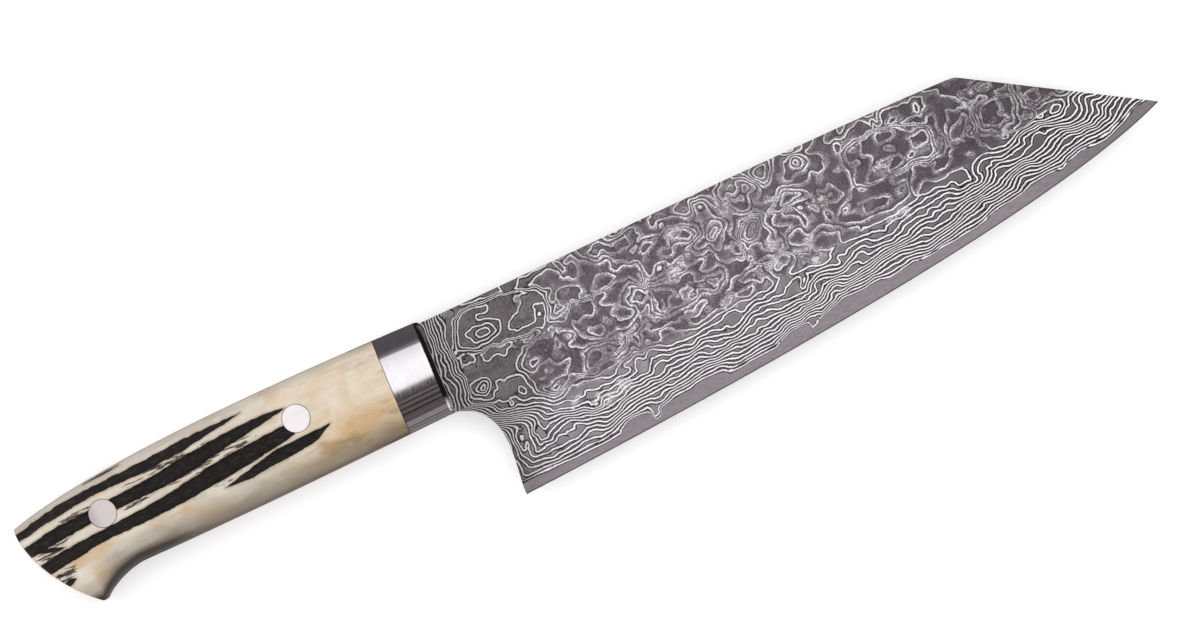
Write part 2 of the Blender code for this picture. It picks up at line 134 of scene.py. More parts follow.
def settle():  # location, rotation and scale go into the mesh
    bpy.ops.object.transform_apply(location=True, rotation=True, scale=True)


def startEdit(piece, kind):  # edit mode with nothing selected
    pick(piece)
    bpy.ops.object.mode_set(mode="EDIT")
    bpy.ops.mesh.select_mode(type=kind)
    bpy.ops.mesh.select_all(action="DESELECT")


def selectFaces(piece, wanted):  # wanted(centre, normal) in drawing millimetres
    startEdit(piece, "FACE")
    bpy.ops.object.mode_set(mode="OBJECT")
    for face in piece.data.polygons:
        face.select = bool(wanted((face.center - datum) / mm, face.normal))
    bpy.ops.object.mode_set(mode="EDIT")


def selectEdges(piece, wanted):  # wanted(first, second) end points in drawing millimetres
    startEdit(piece, "EDGE")
    bpy.ops.object.mode_set(mode="OBJECT")
    vertices = piece.data.vertices
    for edge in piece.data.edges:
        edge.select = bool(wanted(*[(vertices[v].co - datum) / mm for v in edge.vertices]))
    bpy.ops.object.mode_set(mode="EDIT")


def selectOpenEdges(piece):
    startEdit(piece, "EDGE")
    bpy.ops.mesh.select_non_manifold(
        extend=False, use_wire=False, use_boundary=True, use_multi_face=False,
        use_non_contiguous=False, use_verts=False)


def selectAll(piece):
    pick(piece)
    bpy.ops.object.mode_set(mode="EDIT")
    bpy.ops.mesh.select_all(action="SELECT")


def weld():  # merges what lies in one place
    bpy.ops.mesh.select_all(action="SELECT")
    bpy.ops.mesh.remove_doubles(threshold=weldDistance)


def endEdit(smoothAngle=30):
    bpy.ops.mesh.select_all(action="SELECT")
    bpy.ops.mesh.normals_make_consistent(inside=False)
    bpy.ops.object.mode_set(mode="OBJECT")
    bpy.ops.object.shade_smooth_by_angle(angle=math.radians(smoothAngle))


def bezier(a, b, c, d, count=curvePoints):
    t = np.linspace(0, 1, count)[:, None]
    a, b, c, d = (np.array(p, float) for p in (a, b, c, d))
    return (1 - t) ** 3 * a + 3 * (1 - t) ** 2 * t * b + 3 * (1 - t) * t**2 * c + t**3 * d


def stepLengths(line):
    return np.linalg.norm(np.diff(line, axis=0), axis=1)


def alongLine(line, shares):  # points at these shares of a line's length
    run = np.concatenate([[0], np.cumsum(stepLengths(line))])
    return np.stack([np.interp(shares * run[-1], run, line[:, k]) for k in (0, 1)], 1)


def eased(count, ease=0.0):  # shares from 0 to 1, crowded towards both ends
    share = np.linspace(0, 1, count + 1)
    return share + ease * ((1 - np.cos(np.pi * share)) / 2 - share)


def layGrid(name, bottom, top, left, right, columns, rows):
    # a grid whose four sides lie on four lines; columns and rows are shares along them
    piece = addShape(
        bpy.ops.mesh.primitive_grid_add, name,
        x_subdivisions=len(columns) - 1, y_subdivisions=len(rows) - 1, size=2)
    across, up = ((readAll(piece.data.vertices, "co", 3)[:, :2] + 1) / 2).T
    u = columns[np.rint(across * (len(columns) - 1)).astype(int)]
    v = rows[np.rint(up * (len(rows) - 1)).astype(int)]
    low, high = alongLine(bottom, u), alongLine(top, u)
    rear, front = alongLine(left, v), alongLine(right, v)
    u, v = u[:, None], v[:, None]
    corners = (1 - u) * ((1 - v) * bottom[0] + v * top[0]) + u * ((1 - v) * bottom[-1] + v * top[-1])
    return piece, (1 - v) * low + v * high + (1 - u) * rear + u * front - corners


def wallDown(piece, depthAt):  # gives a sheet side walls down to depthAt(points)
    selectOpenEdges(piece)
    count = len(piece.data.vertices)
    bpy.ops.mesh.extrude_edges_move()
    bpy.ops.object.mode_set(mode="OBJECT")
    points = coordinates(piece)
    points[count:, 2] = depthAt(points[count:])
    place(piece, points)


def closeTo(piece, depthAt):  # side walls and a back, so that the sheet becomes a solid
    wallDown(piece, depthAt)
    selectOpenEdges(piece)
    bpy.ops.mesh.edge_face_add()
    bpy.ops.mesh.quads_convert_to_tris()
    weld()
    endEdit()


def drill(piece, places, radius, low, high):  # round holes from height low to height high
    drills = [
        addShape(
            bpy.ops.mesh.primitive_cylinder_add, vertices=drillSides, radius=radius * mm,
            depth=abs(high - low) * mm, location=toWorld((x, y, (low + high) / 2)))
        for x, y in places]
    for tool in drills:
        tool.select_set(True)
    bpy.ops.object.join()
    drills = bpy.context.object
    settle()
    pick(piece)
    cut = piece.modifiers.new("Cut", "BOOLEAN")
    cut.operation, cut.object, cut.solver = "DIFFERENCE", drills, "EXACT"
    bpy.ops.object.modifier_apply(modifier=cut.name)
    bpy.data.objects.remove(drills)
    selectAll(piece)
    bpy.ops.mesh.fill_holes(sides=5)  # closes the few triangles that the cut leaves open
    bpy.ops.object.mode_set(mode="OBJECT")


def addAttributes(piece, **found):
    for name, values in found.items():
        kept = piece.data.attributes.new(name, "FLOAT", "POINT")
        kept.data.foreach_set("value", np.asarray(values, np.float32))


def seat(piece, slot, *replaced):  # gives the piece its body and hides the nodes that it stands for
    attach(piece, "root")
    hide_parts(*replaced)


# handle outline

handle = {
    "length": 111.0,
    "buttTopDrop": 4.0,
    "buttFullness": 0.3,
    "topSwellRear": 1.6,
    "topSwellFront": 2.3,
    "bolsterStep": 0.6,
    "bellyDepth": 23.9,
    "bellySwell": 0.9,
    "hookLength": 12.7,
    "beakSetback": 13.3,
    "beakDepth": 29.4,
    "beakRadius": 1.1,
    "beakStep": 5,  # degrees from point to point round the beak, and where it ends
    "beakTurn": 40,
    "crown": 9.0,
    "rim": 2.6,
    "inner": 1.11,
    "topRound": 5.0,
    "bellyRound": 9.0,
    "buttRound": 0.9,
    "lean": 0.038,
}

buttX = -handle["length"]
beakX = buttX + handle["beakSetback"]
hookX = beakX + handle["hookLength"]
hookDrop = handle["beakDepth"] - handle["bellyDepth"]

topLine = bezier(
    (buttX, -handle["buttTopDrop"]),
    (buttX * 0.81, handle["topSwellRear"]),
    (buttX * 0.45, handle["topSwellFront"]),
    (0, handle["bolsterStep"]),
)
bellyLine = bezier(
    (hookX, -handle["bellyDepth"]),
    (hookX * 0.70, -handle["bellyDepth"] - handle["bellySwell"]),
    (hookX * 0.34, -handle["bellyDepth"]),
    (0, -knife["neckDepth"]),
)
hookLine = bezier(
    (beakX, -handle["beakDepth"]),
    (hookX - handle["hookLength"] * 0.74, -handle["bellyDepth"] - hookDrop * 0.38),
    (hookX - handle["hookLength"] * 0.35, -handle["bellyDepth"] - hookDrop * 0.07),
    (hookX, -handle["bellyDepth"]),
)
lowerLine = np.concatenate([hookLine[:-1], bellyLine])


def topAt(x):
    return np.interp(x, topLine[:, 0], topLine[:, 1])


def bellyAt(x):
    return np.interp(x, lowerLine[:, 0], lowerLine[:, 1])


def leaned(x, y):  # points of the cross-section at x, which leans with the joint
    return np.stack([x + handle["lean"] * y, y], 1)


def upright(x, y):  # where the leaning cross-section through a place meets the spine line
    return x - handle["lean"] * y


def rimsAt(x):  # top and belly of the leaning cross-section that meets the spine line at x
    belly = bellyAt(x)
    return topAt(x), bellyAt(x + handle["lean"] * belly)


def roundUp(share):  # a quarter ellipse, from 0 at the rim to 1 at the crown
    return np.sqrt(1 - (1 - np.clip(share, 0, 1)) ** 2)


def handleHeight(x, y, ease=0.0):  # height of the handle's outer face over the middle plane
    top, belly = rimsAt(upright(x, y))
    above = roundUp((top - ease - y) / handle["topRound"])
    below = roundUp((y - belly - ease) / handle["bellyRound"])
    return handle["rim"] + (handle["crown"] - handle["rim"]) * np.minimum(above, below)


def buttLine():  # from the top down round the beak, as far as the hook
    top, beak = -handle["buttTopDrop"], -handle["beakDepth"]
    curve = bezier(
        (buttX, top), (buttX - handle["buttFullness"], top - (top - beak) * 0.40),
        (buttX + handle["beakSetback"] * 0.53, beak + (top - beak) * 0.22), (beakX, beak))
    course = math.atan2(*(curve[-1] - curve[-2])[::-1])
    radius, turn = handle["beakRadius"], math.radians(handle["beakStep"])
    point = curve[-1] - radius * np.array([math.cos(course), math.sin(course)])
    line = [p for p in curve if p[0] < point[0]] + [point]
    while course <= math.radians(handle["beakTurn"]) and (point[0] < beakX or point[1] > bellyAt(point[0])):
        course += turn
        point = point + radius * turn * np.array([math.cos(course), math.sin(course)])
        line.append(point)
    return np.array(line)


buttCurve = buttLine()


def buttDistance(x, y):  # how far a point lies from the butt
    away = np.full(len(x), 99.0)
    near = np.flatnonzero(x < hookX)
    for start, end in zip(buttCurve, buttCurve[1:]):
        run = end - start
        offset = np.stack([x[near], y[near]], 1) - start
        share = np.clip(offset @ run / (run @ run), 0, 1)
        away[near] = np.minimum(away[near], np.linalg.norm(offset - share[:, None] * run, axis=1))
    return away


# bolsters

bolster = {
    "front": -0.4,
    "length": 12.1,
    "round": 1.2,
    "rimEase": 0.6,
    "columns": 44,
    "rows": 110,
    "pinDepths": (6.2, 17.2),
    "pinHole": 1.55,
    "pinReach": 6.2,
}
jointX = bolster["front"] - bolster["length"]
pinPlaces = [
    (bolster["front"] - bolster["length"] / 2 - handle["lean"] * depth, -depth) for depth in bolster["pinDepths"]]


def bolsterBorders():
    behind = np.linspace(0, 1, 60) ** 2 * bolster["length"]
    ease = bolster["rimEase"] * (1 - roundUp(behind / bolster["round"]))
    x = bolster["front"] - behind
    top, belly = rimsAt(x)
    return leaned(x, belly + ease)[::-1], leaned(x, top - ease)[::-1]


def makeBolster(name, side):
    lower, upper = bolsterBorders()
    rear, front = np.linspace(lower[0], upper[0], 2), np.linspace(lower[-1], upper[-1], 2)
    piece, flat = layGrid(
        name, lower, upper, rear, front, eased(bolster["columns"], 0.8), eased(bolster["rows"], 0.85))
    x, y = flat.T
    left = 1 - roundUp((bolster["front"] - upright(x, y)) / bolster["round"])
    z = handleHeight(x, y, bolster["rimEase"] * left) - bolster["round"] * left
    place(piece, np.stack([x, y, side * z], 1))
    closeTo(piece, lambda p: side * handle["inner"])
    drill(piece, pinPlaces, bolster["pinHole"], 0, side * bolster["pinReach"])
    x, y = coordinates(piece)[:, :2].T
    addAttributes(piece, behindFront=bolster["front"] - upright(x, y))
    seat(piece, "polished_steel", name.replace("polished_", ""))
    return piece


# bone scales

scale = {
    "jointGap": 0.15,
    "columns": 300,
    "rows": 112,
    "chipCoarse": 0.13,  # how far the carved edges wander, at two sizes
    "chipFine": 0.05,
    "depthShare": 0.26,
    "toolMark": 0.16,
}

# where slivers of dye cling to the ridges: x, depth, half length, half height, turn
feathers = (
    (-71, 5.1, 13, 1.1, 4), (-60, 8.9, 14, 1.5, 5), (-79, 10.6, 7, 0.8, 3), (-104, 12.6, 6, 1.9, 12),
    (-96, 7.1, 7, 0.8, 5), (-103.5, 19.5, 4, 1.8, 10), (-58, 15.0, 6, 0.8, 8), (-46, 12.3, 5, 0.7, 5),
)

# each groove: (distance behind the bolster's front, depth below the spine line, width)
grooves = {
    "spine": (
        (48.6, 1.4, 0.0), (51.5, 1.6, 0.6), (55, 1.9, 1.2), (60, 2.2, 1.9), (70, 3.0, 2.7), (80, 3.4, 2.5),
        (90, 3.6, 2.0), (100, 4.5, 2.4), (113, 6.8, 1.8),
    ),
    "upper": (
        (38.4, 4.9, 0.0), (40.5, 5.0, 0.9), (45, 5.2, 2.0), (55, 6.0, 3.1), (65, 7.2, 4.1), (75, 8.2, 3.6),
        (85, 8.6, 3.1), (100, 9.5, 3.5), (113, 11.0, 2.6),
    ),
    "middle": (
        (36, 10.2, 1.0), (41, 10.5, 3.4), (50, 11.3, 4.3), (60, 12.3, 4.6), (70, 13.4, 3.9),
        (80, 14.2, 3.3), (90, 14.4, 2.8), (100, 15.2, 3.3), (113, 17.0, 3.3),
    ),
    "belly": (
        (29.6, 12.9, 0.0), (31.6, 13.4, 0.9), (35, 14.2, 2.4), (40, 14.5, 3.0), (46, 15.0, 3.0), (53, 16.0, 2.0),
        (57.5, 16.4, 0.8), (59.8, 16.6, 0.0),
    ),
    "crest": ((81, 0.4, 0.1), (85, 0.7, 0.6), (91, 1.1, 0.1)),
    "rearFleck": ((101.5, 13.2, 0.2), (103.5, 12.6, 1.2), (106.5, 11.9, 1.0), (108.5, 11.6, 0.2)),
    "beakFleck": ((101.8, 21.2, 0.2), (103.4, 21.4, 1.7), (105.0, 21.8, 0.9), (105.8, 22.0, 0.2)),
    "lowFleck": ((103.8, 19.2, 0.2), (105.2, 19.0, 0.8), (106.4, 18.9, 0.2)),
}


def smoothLine(points, perPiece=12):  # a curve through the points
    p = np.array(points, float)
    p = np.concatenate([[2 * p[0] - p[1]], p, [2 * p[-1] - p[-2]]])
    t = np.linspace(0, 1, perPiece, endpoint=False)[:, None]
    found = []
    for a, b, c, d in zip(p, p[1:], p[2:], p[3:]):
        found.append(0.5 * (2 * b + (c - a) * t + (2 * a - 5 * b + 4 * c - d) * t**2 + (3 * b - a - 3 * c + d) * t**3))
    return np.concatenate(found + [p[-2:-1]])


def ripple(x, step, seed):  # an uneven line that turns every step millimetres
    count = 600
    knots = np.random.default_rng(seed).uniform(-1, 1, count)
    return np.interp(x / step, np.arange(count) - count / 2, knots)


def chips(x, seed):
    return scale["chipCoarse"] * ripple(x, 1.9, seed) + scale["chipFine"] * ripple(x, 0.5, seed + 1)


def grooveEdges(x, y, side):
    # for each point: how far inside a groove's edge it lies, and how deep the groove is there
    inside, depth = np.full(len(x), -9.0), np.zeros(len(x))
    for number, track in enumerate(grooves.values()):
        setback, drop, width = smoothLine(track).T
        seed = 40 * number + (7 if side > 0 else 907)
        along = -x + (0.0 if side > 0 else 1.7 * math.sin(number))
        drift = 0 if side > 0 else 0.5 * ripple(x, 9, seed + 1)
        middle = -np.interp(along, setback, drop) + drift
        past = np.maximum(np.maximum(setback[0] - along, along - setback[-1]), 0)
        half = np.interp(along, setback, np.maximum(width, 0)) / 2 * (past == 0)
        wander = np.minimum(1, half / 0.8)
        upper = middle + half + wander * chips(x, seed + 2)
        lower = middle - half - wander * chips(x, seed + 4)
        within = np.minimum(upper - y, y - lower)
        within = np.where(past > 0, -np.hypot(past, within), within)
        share = np.clip(within / np.maximum(half, 0.05), 0, 1)
        marks = 1 + scale["toolMark"] * ripple(x + 0.6 * y, 1.1, seed + 6)
        depth = np.maximum(depth, scale["depthShare"] * 2 * half * (1 - (1 - share) ** 2) ** 0.7 * marks)
        inside = np.maximum(inside, within)
    return inside, depth


def featherShare(x, y, side):  # 1 in the middle of a sliver
    found = np.zeros(len(x))
    for centre, depth, halfLength, halfHeight, turn in feathers:
        if side < 0:
            centre, depth = centre - 4, depth + 0.8
        along, across = aroundCentre(x - centre, y + depth, turn)
        found = np.maximum(found, 1 - (along / halfLength) ** 2 - (across / halfHeight) ** 2)
    return np.clip(found, 0, 1)


def scaleBorders():
    x = np.linspace(buttCurve[0, 0], jointX - scale["jointGap"], 200)
    borders = []
    for rim, start in zip(rimsAt(x), (buttCurve[0], buttCurve[-1])):
        line = leaned(x, rim)
        borders.append(np.concatenate([[start], line[line[:, 0] > start[0] + 0.1]]))
    return borders


def makeScale(name, side):
    upper, lower = scaleBorders()
    rear, front = buttCurve[::-1], np.linspace(lower[-1], upper[-1], 2)
    piece, flat = layGrid(name, lower, upper, rear, front, eased(scale["columns"]), eased(scale["rows"], 0.6))
    x, y = flat.T
    ease = 1 - roundUp(buttDistance(x, y) / handle["buttRound"])
    z = np.minimum(handleHeight(x, y), handle["crown"] - handle["buttRound"] * ease)
    z = z - np.minimum(grooveEdges(x, y, side)[1], z - handle["rim"] * 0.8)
    place(piece, np.stack([x, y, side * z], 1))
    closeTo(piece, lambda p: side * handle["inner"])
    places = rivets["places"].values()
    drill(piece, places, rivets["hole"], side * rivets["seat"], side * (handle["crown"] + 1))
    drill(piece, places, rivets["shankHole"], 0, side * (rivets["seat"] + 0.1))
    x, y, z = coordinates(piece).T
    top, belly = rimsAt(upright(x, y))
    inside = np.abs(z) < handle["inner"] + 0.05  # the dye only reaches a little way down the ends
    addAttributes(
        piece, overBelly=y - belly, underTop=top - y, dye=np.where(inside, -9, grooveEdges(x, y, side)[0]),
        feather=np.where(inside, -6, featherShare(x, y, side)))
    seat(piece, "jigged_bone", name.replace("jigged_", ""))
    return piece


# rivets

rivets = {
    "places": {"front": (-37.0, -8.4), "rear": (-89.4, -9.5)},
    "radius": 3.45,
    "headLength": 3.5,
    "sleeveRadius": 2.5,
    "studRadius": 1.5,
    "pressGap": 0.05,
    "endGap": 0.3,
    "hole": 3.55,
    "shankHole": 2.6,
    "seat": 5.4,
    "edgeBreak": 0.12,
    "sides": 96,
}


def rivetHead(name, x, y, side):
    # a head with its outer edge broken; its inner face is left selected
    crown = handle["crown"]
    inner = crown - rivets["headLength"]
    piece = addShape(
        bpy.ops.mesh.primitive_cylinder_add, name, vertices=rivets["sides"], radius=rivets["radius"] * mm,
        depth=rivets["headLength"] * mm, location=toWorld((x, y, side * (crown + inner) / 2)))
    settle()
    selectEdges(piece, lambda a, b: abs(a.z * side - crown) < 0.01 and abs(b.z * side - crown) < 0.01)
    bpy.ops.mesh.bevel(offset=rivets["edgeBreak"] * mm, segments=3, affect="EDGES")
    bpy.ops.object.mode_set(mode="OBJECT")
    selectFaces(piece, lambda centre, normal: normal.z * side < -0.9)
    return piece


def stepIn(amount, run):  # insets the selected face and pulls it along z
    bpy.ops.mesh.inset(thickness=amount * mm)
    bpy.ops.mesh.extrude_region_move(TRANSFORM_OT_translate={"value": (0, 0, run * mm)})


def makeRivet(key, x, y):
    shank = 2 * (handle["crown"] - rivets["headLength"])
    stud = rivetHead(f"polished_rivet_{key}_stud", x, y, 1)
    stepIn(rivets["radius"] - rivets["studRadius"], -shank)
    endEdit()
    seat(stud, "rivet_steel", f"rivet_{key}_stud")
    sleeve = rivetHead(f"polished_rivet_{key}_sleeve", x, y, -1)
    length = shank - rivets["endGap"]
    stepIn(rivets["radius"] - rivets["sleeveRadius"], length)
    bore = rivets["studRadius"] + rivets["pressGap"]
    stepIn(rivets["sleeveRadius"] - bore, -length - rivets["endGap"])
    endEdit()
    seat(sleeve, "rivet_steel", f"rivet_{key}_sleeve")
    return stud, sleeve


# blade layers

blade = {
    "clipX": 143.2,
    "clipDrop": 0.5,
    "clipEase": 1.12,
    "pointDrop": 27.0,
    "spineSag": 0.2,
    "spineCrown": 1.0,
    "heelAngle": 2.6,
    "pointAngle": 21.0,
    "heelPull": 0.296,
    "pointPull": 0.207,
    "choilHollow": 1.3,
    "choilLevel": 0.475,
    "coreThickness": 0.76,
    "corePointThickness": 0.54,
    "weldGap": 0.02,
    "microHeight": 0.5,
    "microThickness": 0.4,
    "bevelBreak": 6.0,
    "bevelHeight": 14.5,
    "bevelFullness": 0.04,
    "columns": 500,
    "rows": 130,
    "tangColumns": 60,
    "choilRows": 30,
    "neckRows": 26,
    "lowRows": (0, 0.2, 0.5, 0.85, 1.2, 1.6, 2.0, 2.4, 2.8, 3.2, 3.6, 4.0, 4.6),
}


def edgeCurve():
    heel = np.array([knife["heelX"], -knife["heelDepth"]])
    point = np.array([knife["pointX"], -blade["pointDrop"]])
    length = np.linalg.norm(point - heel)
    return bezier(
        heel, heel + blade["heelPull"] * length * heading(blade["heelAngle"]),
        point - blade["pointPull"] * length * heading(blade["pointAngle"]), point, 300)


def spineCurve():
    start, end = knife["neckX"], blade["clipX"]
    return bezier(
        (start, 0), (start + (end - start) * 0.35, -blade["spineSag"]),
        (start + (end - start) * 0.70, blade["spineCrown"]), (end, -blade["clipDrop"]), 80)


def choilCurve():  # from the heel up to the neck
    heelX, heelY, neckX, neckY = knife["heelX"], -knife["heelDepth"], knife["neckX"], -knife["neckDepth"]
    level = heelY + (neckY - heelY) * (1 - blade["choilLevel"])
    above, below = neckY - level, level - heelY
    reach = heelX + blade["choilHollow"]
    lower = bezier(
        (heelX, heelY), (heelX - 0.3 * blade["choilHollow"], heelY + below * 0.10),
        (reach, level - below * 0.34), (reach, level))
    upper = bezier(
        (reach, level), (reach, level + above * 0.57),
        (neckX + (reach - neckX) * 0.61, neckY - above * 0.095), (neckX, neckY))
    return np.concatenate([lower, upper[1:]])


edgeLine, spineLine, choilLine = edgeCurve(), spineCurve(), choilCurve()
edgeSlope = np.gradient(edgeLine[:, 1], edgeLine[:, 0])
clipCorner = np.array([blade["clipX"], -blade["clipDrop"]])
clipWay = edgeLine[-1] - clipCorner
clipWay = clipWay / np.linalg.norm(clipWay)


def edgeDistance(x, y):  # how far over the cutting edge, square to it
    slope = np.interp(x, edgeLine[:, 0], edgeSlope)
    return (y - np.interp(x, edgeLine[:, 0], edgeLine[:, 1])) / np.sqrt(1 + slope**2)


def halfThickness(x, thickness, atPoint):
    return np.interp(x, (knife["neckX"], knife["pointX"]), (thickness / 2, atPoint / 2))


def halfCore(x):
    return halfThickness(x, blade["coreThickness"], blade["corePointThickness"])


def halfBlade(x, y):  # half of the ground blade's thickness at a place
    over = edgeDistance(x, y)
    slope = np.interp(x, edgeLine[:, 0], edgeSlope)
    sine = slope / np.sqrt(1 + slope**2)
    low, turn, high, micro = (blade[key] for key in ("microHeight", "bevelBreak", "bevelHeight", "microThickness"))
    micro = micro / 2
    full = halfThickness(x + (over - high) * sine, knife["spineThickness"], knife["pointThickness"])
    rise = (full - micro) / (high - low)
    middle = micro + rise * (turn - low) + blade["bevelFullness"]
    lowShare = np.clip((over - low) / (turn - low), 0, 1)
    highShare = np.clip((over - turn) / (high - turn), 0, 1)
    ground = micro * np.clip(over / low, 0, 1) + (middle - micro) * lowShare + (full - middle) * highShare
    flat = halfThickness(x, knife["spineThickness"], knife["pointThickness"])
    return np.where(x < knife["neckX"], knife["spineThickness"] / 2, np.minimum(ground, flat))


def clipY(x):
    return clipCorner[1] + (x - clipCorner[0]) * clipWay[1] / clipWay[0]


def claddingBorder():  # where the bevel runs out of cladding, from the choil to the clip
    inner = halfCore(edgeLine[:, 0]) + blade["weldGap"]
    low, high = np.zeros(len(inner)), np.full(len(inner), 9.0)
    inward = np.stack([-edgeSlope, np.ones(len(inner))], 1) / np.sqrt(1 + edgeSlope[:, None] ** 2)
    while np.max(high - low) > 1e-8:
        middle = (low + high) / 2
        thick = halfBlade(*(edgeLine + inward * middle[:, None]).T) > inner
        low, high = np.where(thick, low, middle), np.where(thick, middle, high)
    line = edgeLine + inward * low[:, None]
    backX = np.interp(line[0, 1], choilLine[:curvePoints, 1], choilLine[:curvePoints, 0])
    line = np.concatenate([[(backX, line[0, 1])], line[line[:, 0] > backX + 0.2]])
    room = clipY(line[:, 0]) - line[:, 1]
    last = np.flatnonzero(room > 0)[-1]
    share = room[last] / (room[last] - room[last + 1])
    return np.concatenate([line[:last + 1], [line[last] + share * (line[last + 1] - line[last])]])


def layFlat(*grid):  # on the middle plane
    piece, flat = layGrid(*grid)
    place(piece, np.column_stack([flat, np.zeros(len(flat))]))
    return piece


def layBlade(name, bottom, lowRows=()):
    # the outer face of one layer, blade and tang, as a sheet
    start, neckX, neckY = bottom[0], knife["neckX"], -knife["neckDepth"]
    rear = np.concatenate([[start], choilLine[choilLine[:, 1] > start[1] + 0.05], [(neckX, 0)]])
    first, corner, last = clipCorner - (blade["clipEase"], 0), clipCorner, clipCorner + clipWay * blade["clipEase"]
    arc = bezier(first, first / 3 + corner * 2 / 3, last / 3 + corner * 2 / 3, last, 9)
    top = np.concatenate([spineLine[spineLine[:, 0] < first[0] - 0.2], arc[:5]])
    front = np.concatenate([[bottom[-1]], arc[:3:-1]])
    height = stepLengths(rear).sum()
    neck = 1 - knife["neckDepth"] / height
    low = np.array([r / height for r in lowRows if r / height < neck])
    if len(low):
        neckRows = blade["neckRows"]
        below = [low, np.linspace(low[-1], neck, blade["choilRows"] + 1)[1:]]
    else:
        neckRows = round(blade["rows"] * (1 - neck))
        below = [np.linspace(0, neck, blade["rows"] - neckRows + 1)]
    rows = np.concatenate(below + [np.linspace(neck, 1, neckRows + 1)[1:]])
    piece = layFlat(name, bottom, top, rear, front, eased(blade["columns"]), rows)

    tangTop = np.concatenate([topLine[topLine[:, 0] < neckX], [(neckX, topAt(neckX)), (neckX, 0)]])
    tangLow = lowerLine[(lowerLine[:, 0] < neckX) & (lowerLine[:, 0] > buttCurve[-1, 0])]
    tangLow = np.concatenate([[buttCurve[-1]], tangLow, [(neckX, neckY)]])
    length = stepLengths(tangTop).sum()
    columns = np.concatenate([np.linspace(0, 1 - 0.7 / length, blade["tangColumns"]), [1]])
    tangFront = np.array([(neckX, neckY), (neckX, 0)])
    tang = layFlat("tang", tangLow, tangTop, buttCurve[::-1], tangFront, columns, eased(neckRows))
    pick(piece)
    tang.select_set(True)
    bpy.ops.object.join()
    bpy.ops.object.mode_set(mode="EDIT")
    weld()
    bpy.ops.object.mode_set(mode="OBJECT")
    return piece


def makeCladding(name, side):
    piece = layBlade(name, claddingBorder())
    points = coordinates(piece)
    x, y = points[:, :2].T
    points[:, 2] = side * np.maximum(halfBlade(x, y), halfCore(x) + blade["weldGap"])
    place(piece, points)
    closeTo(piece, lambda p: side * (halfCore(p[:, 0]) + blade["weldGap"]))
    finishLayer(piece, "damascus_steel", "cladding_" + name.split("_")[-1])
    return piece


def makeCore(name):
    piece = layBlade(name, edgeLine, blade["lowRows"])
    points = coordinates(piece)
    x, y = points[:, :2].T
    points[:, 2] = np.minimum(halfBlade(x, y), halfCore(x))
    place(piece, points)
    wallDown(piece, lambda p: 0)
    selectAll(piece)
    bpy.ops.mesh.duplicate()
    bpy.ops.transform.resize(value=(1, 1, -1), center_override=tuple(datum))
    weld()
    endEdit()
    finishLayer(piece, "core_steel", "blade_core")
    return piece


# the bake's picture: two strips of blade one above the other, with the rims over them and what is hidden
# at the side; lengths in millimetres, and the rest as shares of the picture
bake = {
    "split": 92.0,  # where the second strip starts
    "span": 103.0,  # across the picture
    "margin": 0.6,
    "stripRoom": 0.4,
    "firstLift": 0.4,
    "secondLift": 0.1,
    "facing": 0.6,  # how squarely a face looks out, or a rim up or down
    "coreShown": 4.5,
    "knifeLength": 302,
    "knifeDepth": 50,
    "endRoom": 2,
    "thickness": 2.4,
    "rimLength": 0.92,
    "topRim": 0.964,
    "lowRim": 0.984,
    "rimWidth": 0.014,
    "sideStart": 0.94,
    "sideLength": 0.045,
    "sideHeight": 0.40,
    "sideShift": 0.006,
    "outerSide": 0.02,
    "innerSide": 0.5,
}


def layOutBake(piece):
    mesh = piece.data
    corner = readAll(mesh.loops, "vertex_index", kind=int)
    face = np.repeat(np.arange(len(mesh.polygons)), readAll(mesh.polygons, "loop_total", kind=int))
    centre = ((readAll(mesh.polygons, "center", 3) - np.array(datum)) / mm)[face]
    normal = readAll(mesh.polygons, "normal", 3)[face]
    x, y, z = coordinates(piece)[corner].T
    height = knife["heelDepth"] + bake["stripRoom"]
    second = centre[:, 0] > bake["split"]
    u = np.where(second, x - bake["split"], x - knife["neckX"]) + bake["margin"]
    v = np.where(second, bake["secondLift"], height + bake["firstLift"]) + y + height
    outward = normal[:, 2] * np.sign(centre[:, 2])
    shown = (centre[:, 0] > knife["neckX"]) & (outward > bake["facing"])
    if piece.name == "ground_core":
        shown &= (normal[:, 2] > 0) & (edgeDistance(centre[:, 0], centre[:, 1]) < bake["coreShown"])
    rim = np.abs(normal[:, 1]) > bake["facing"]
    along = (x + handle["length"] + bake["endRoom"]) / bake["knifeLength"]
    over = (y + bake["knifeDepth"]) / (bake["knifeDepth"] + bake["endRoom"])
    through = z / bake["thickness"] + 0.5
    rimU, rimV = along * bake["rimLength"], np.where(normal[:, 1] > 0, bake["topRim"], bake["lowRim"])
    sideU = bake["sideStart"] + along * bake["sideLength"] + through * bake["sideShift"]
    sideV = over * bake["sideHeight"] + through * bake["outerSide"]
    sideV = sideV + np.where(outward > 0, bake["outerSide"], bake["innerSide"])
    u = np.where(shown, u / bake["span"], np.where(rim, rimU, sideU))
    v = np.where(shown, v / bake["span"], np.where(rim, rimV + through * bake["rimWidth"], sideV))
    layer = mesh.uv_layers.new(name="OFBake")
    layer.data.foreach_set("uv", np.column_stack([u, v]).astype(np.float32).ravel())


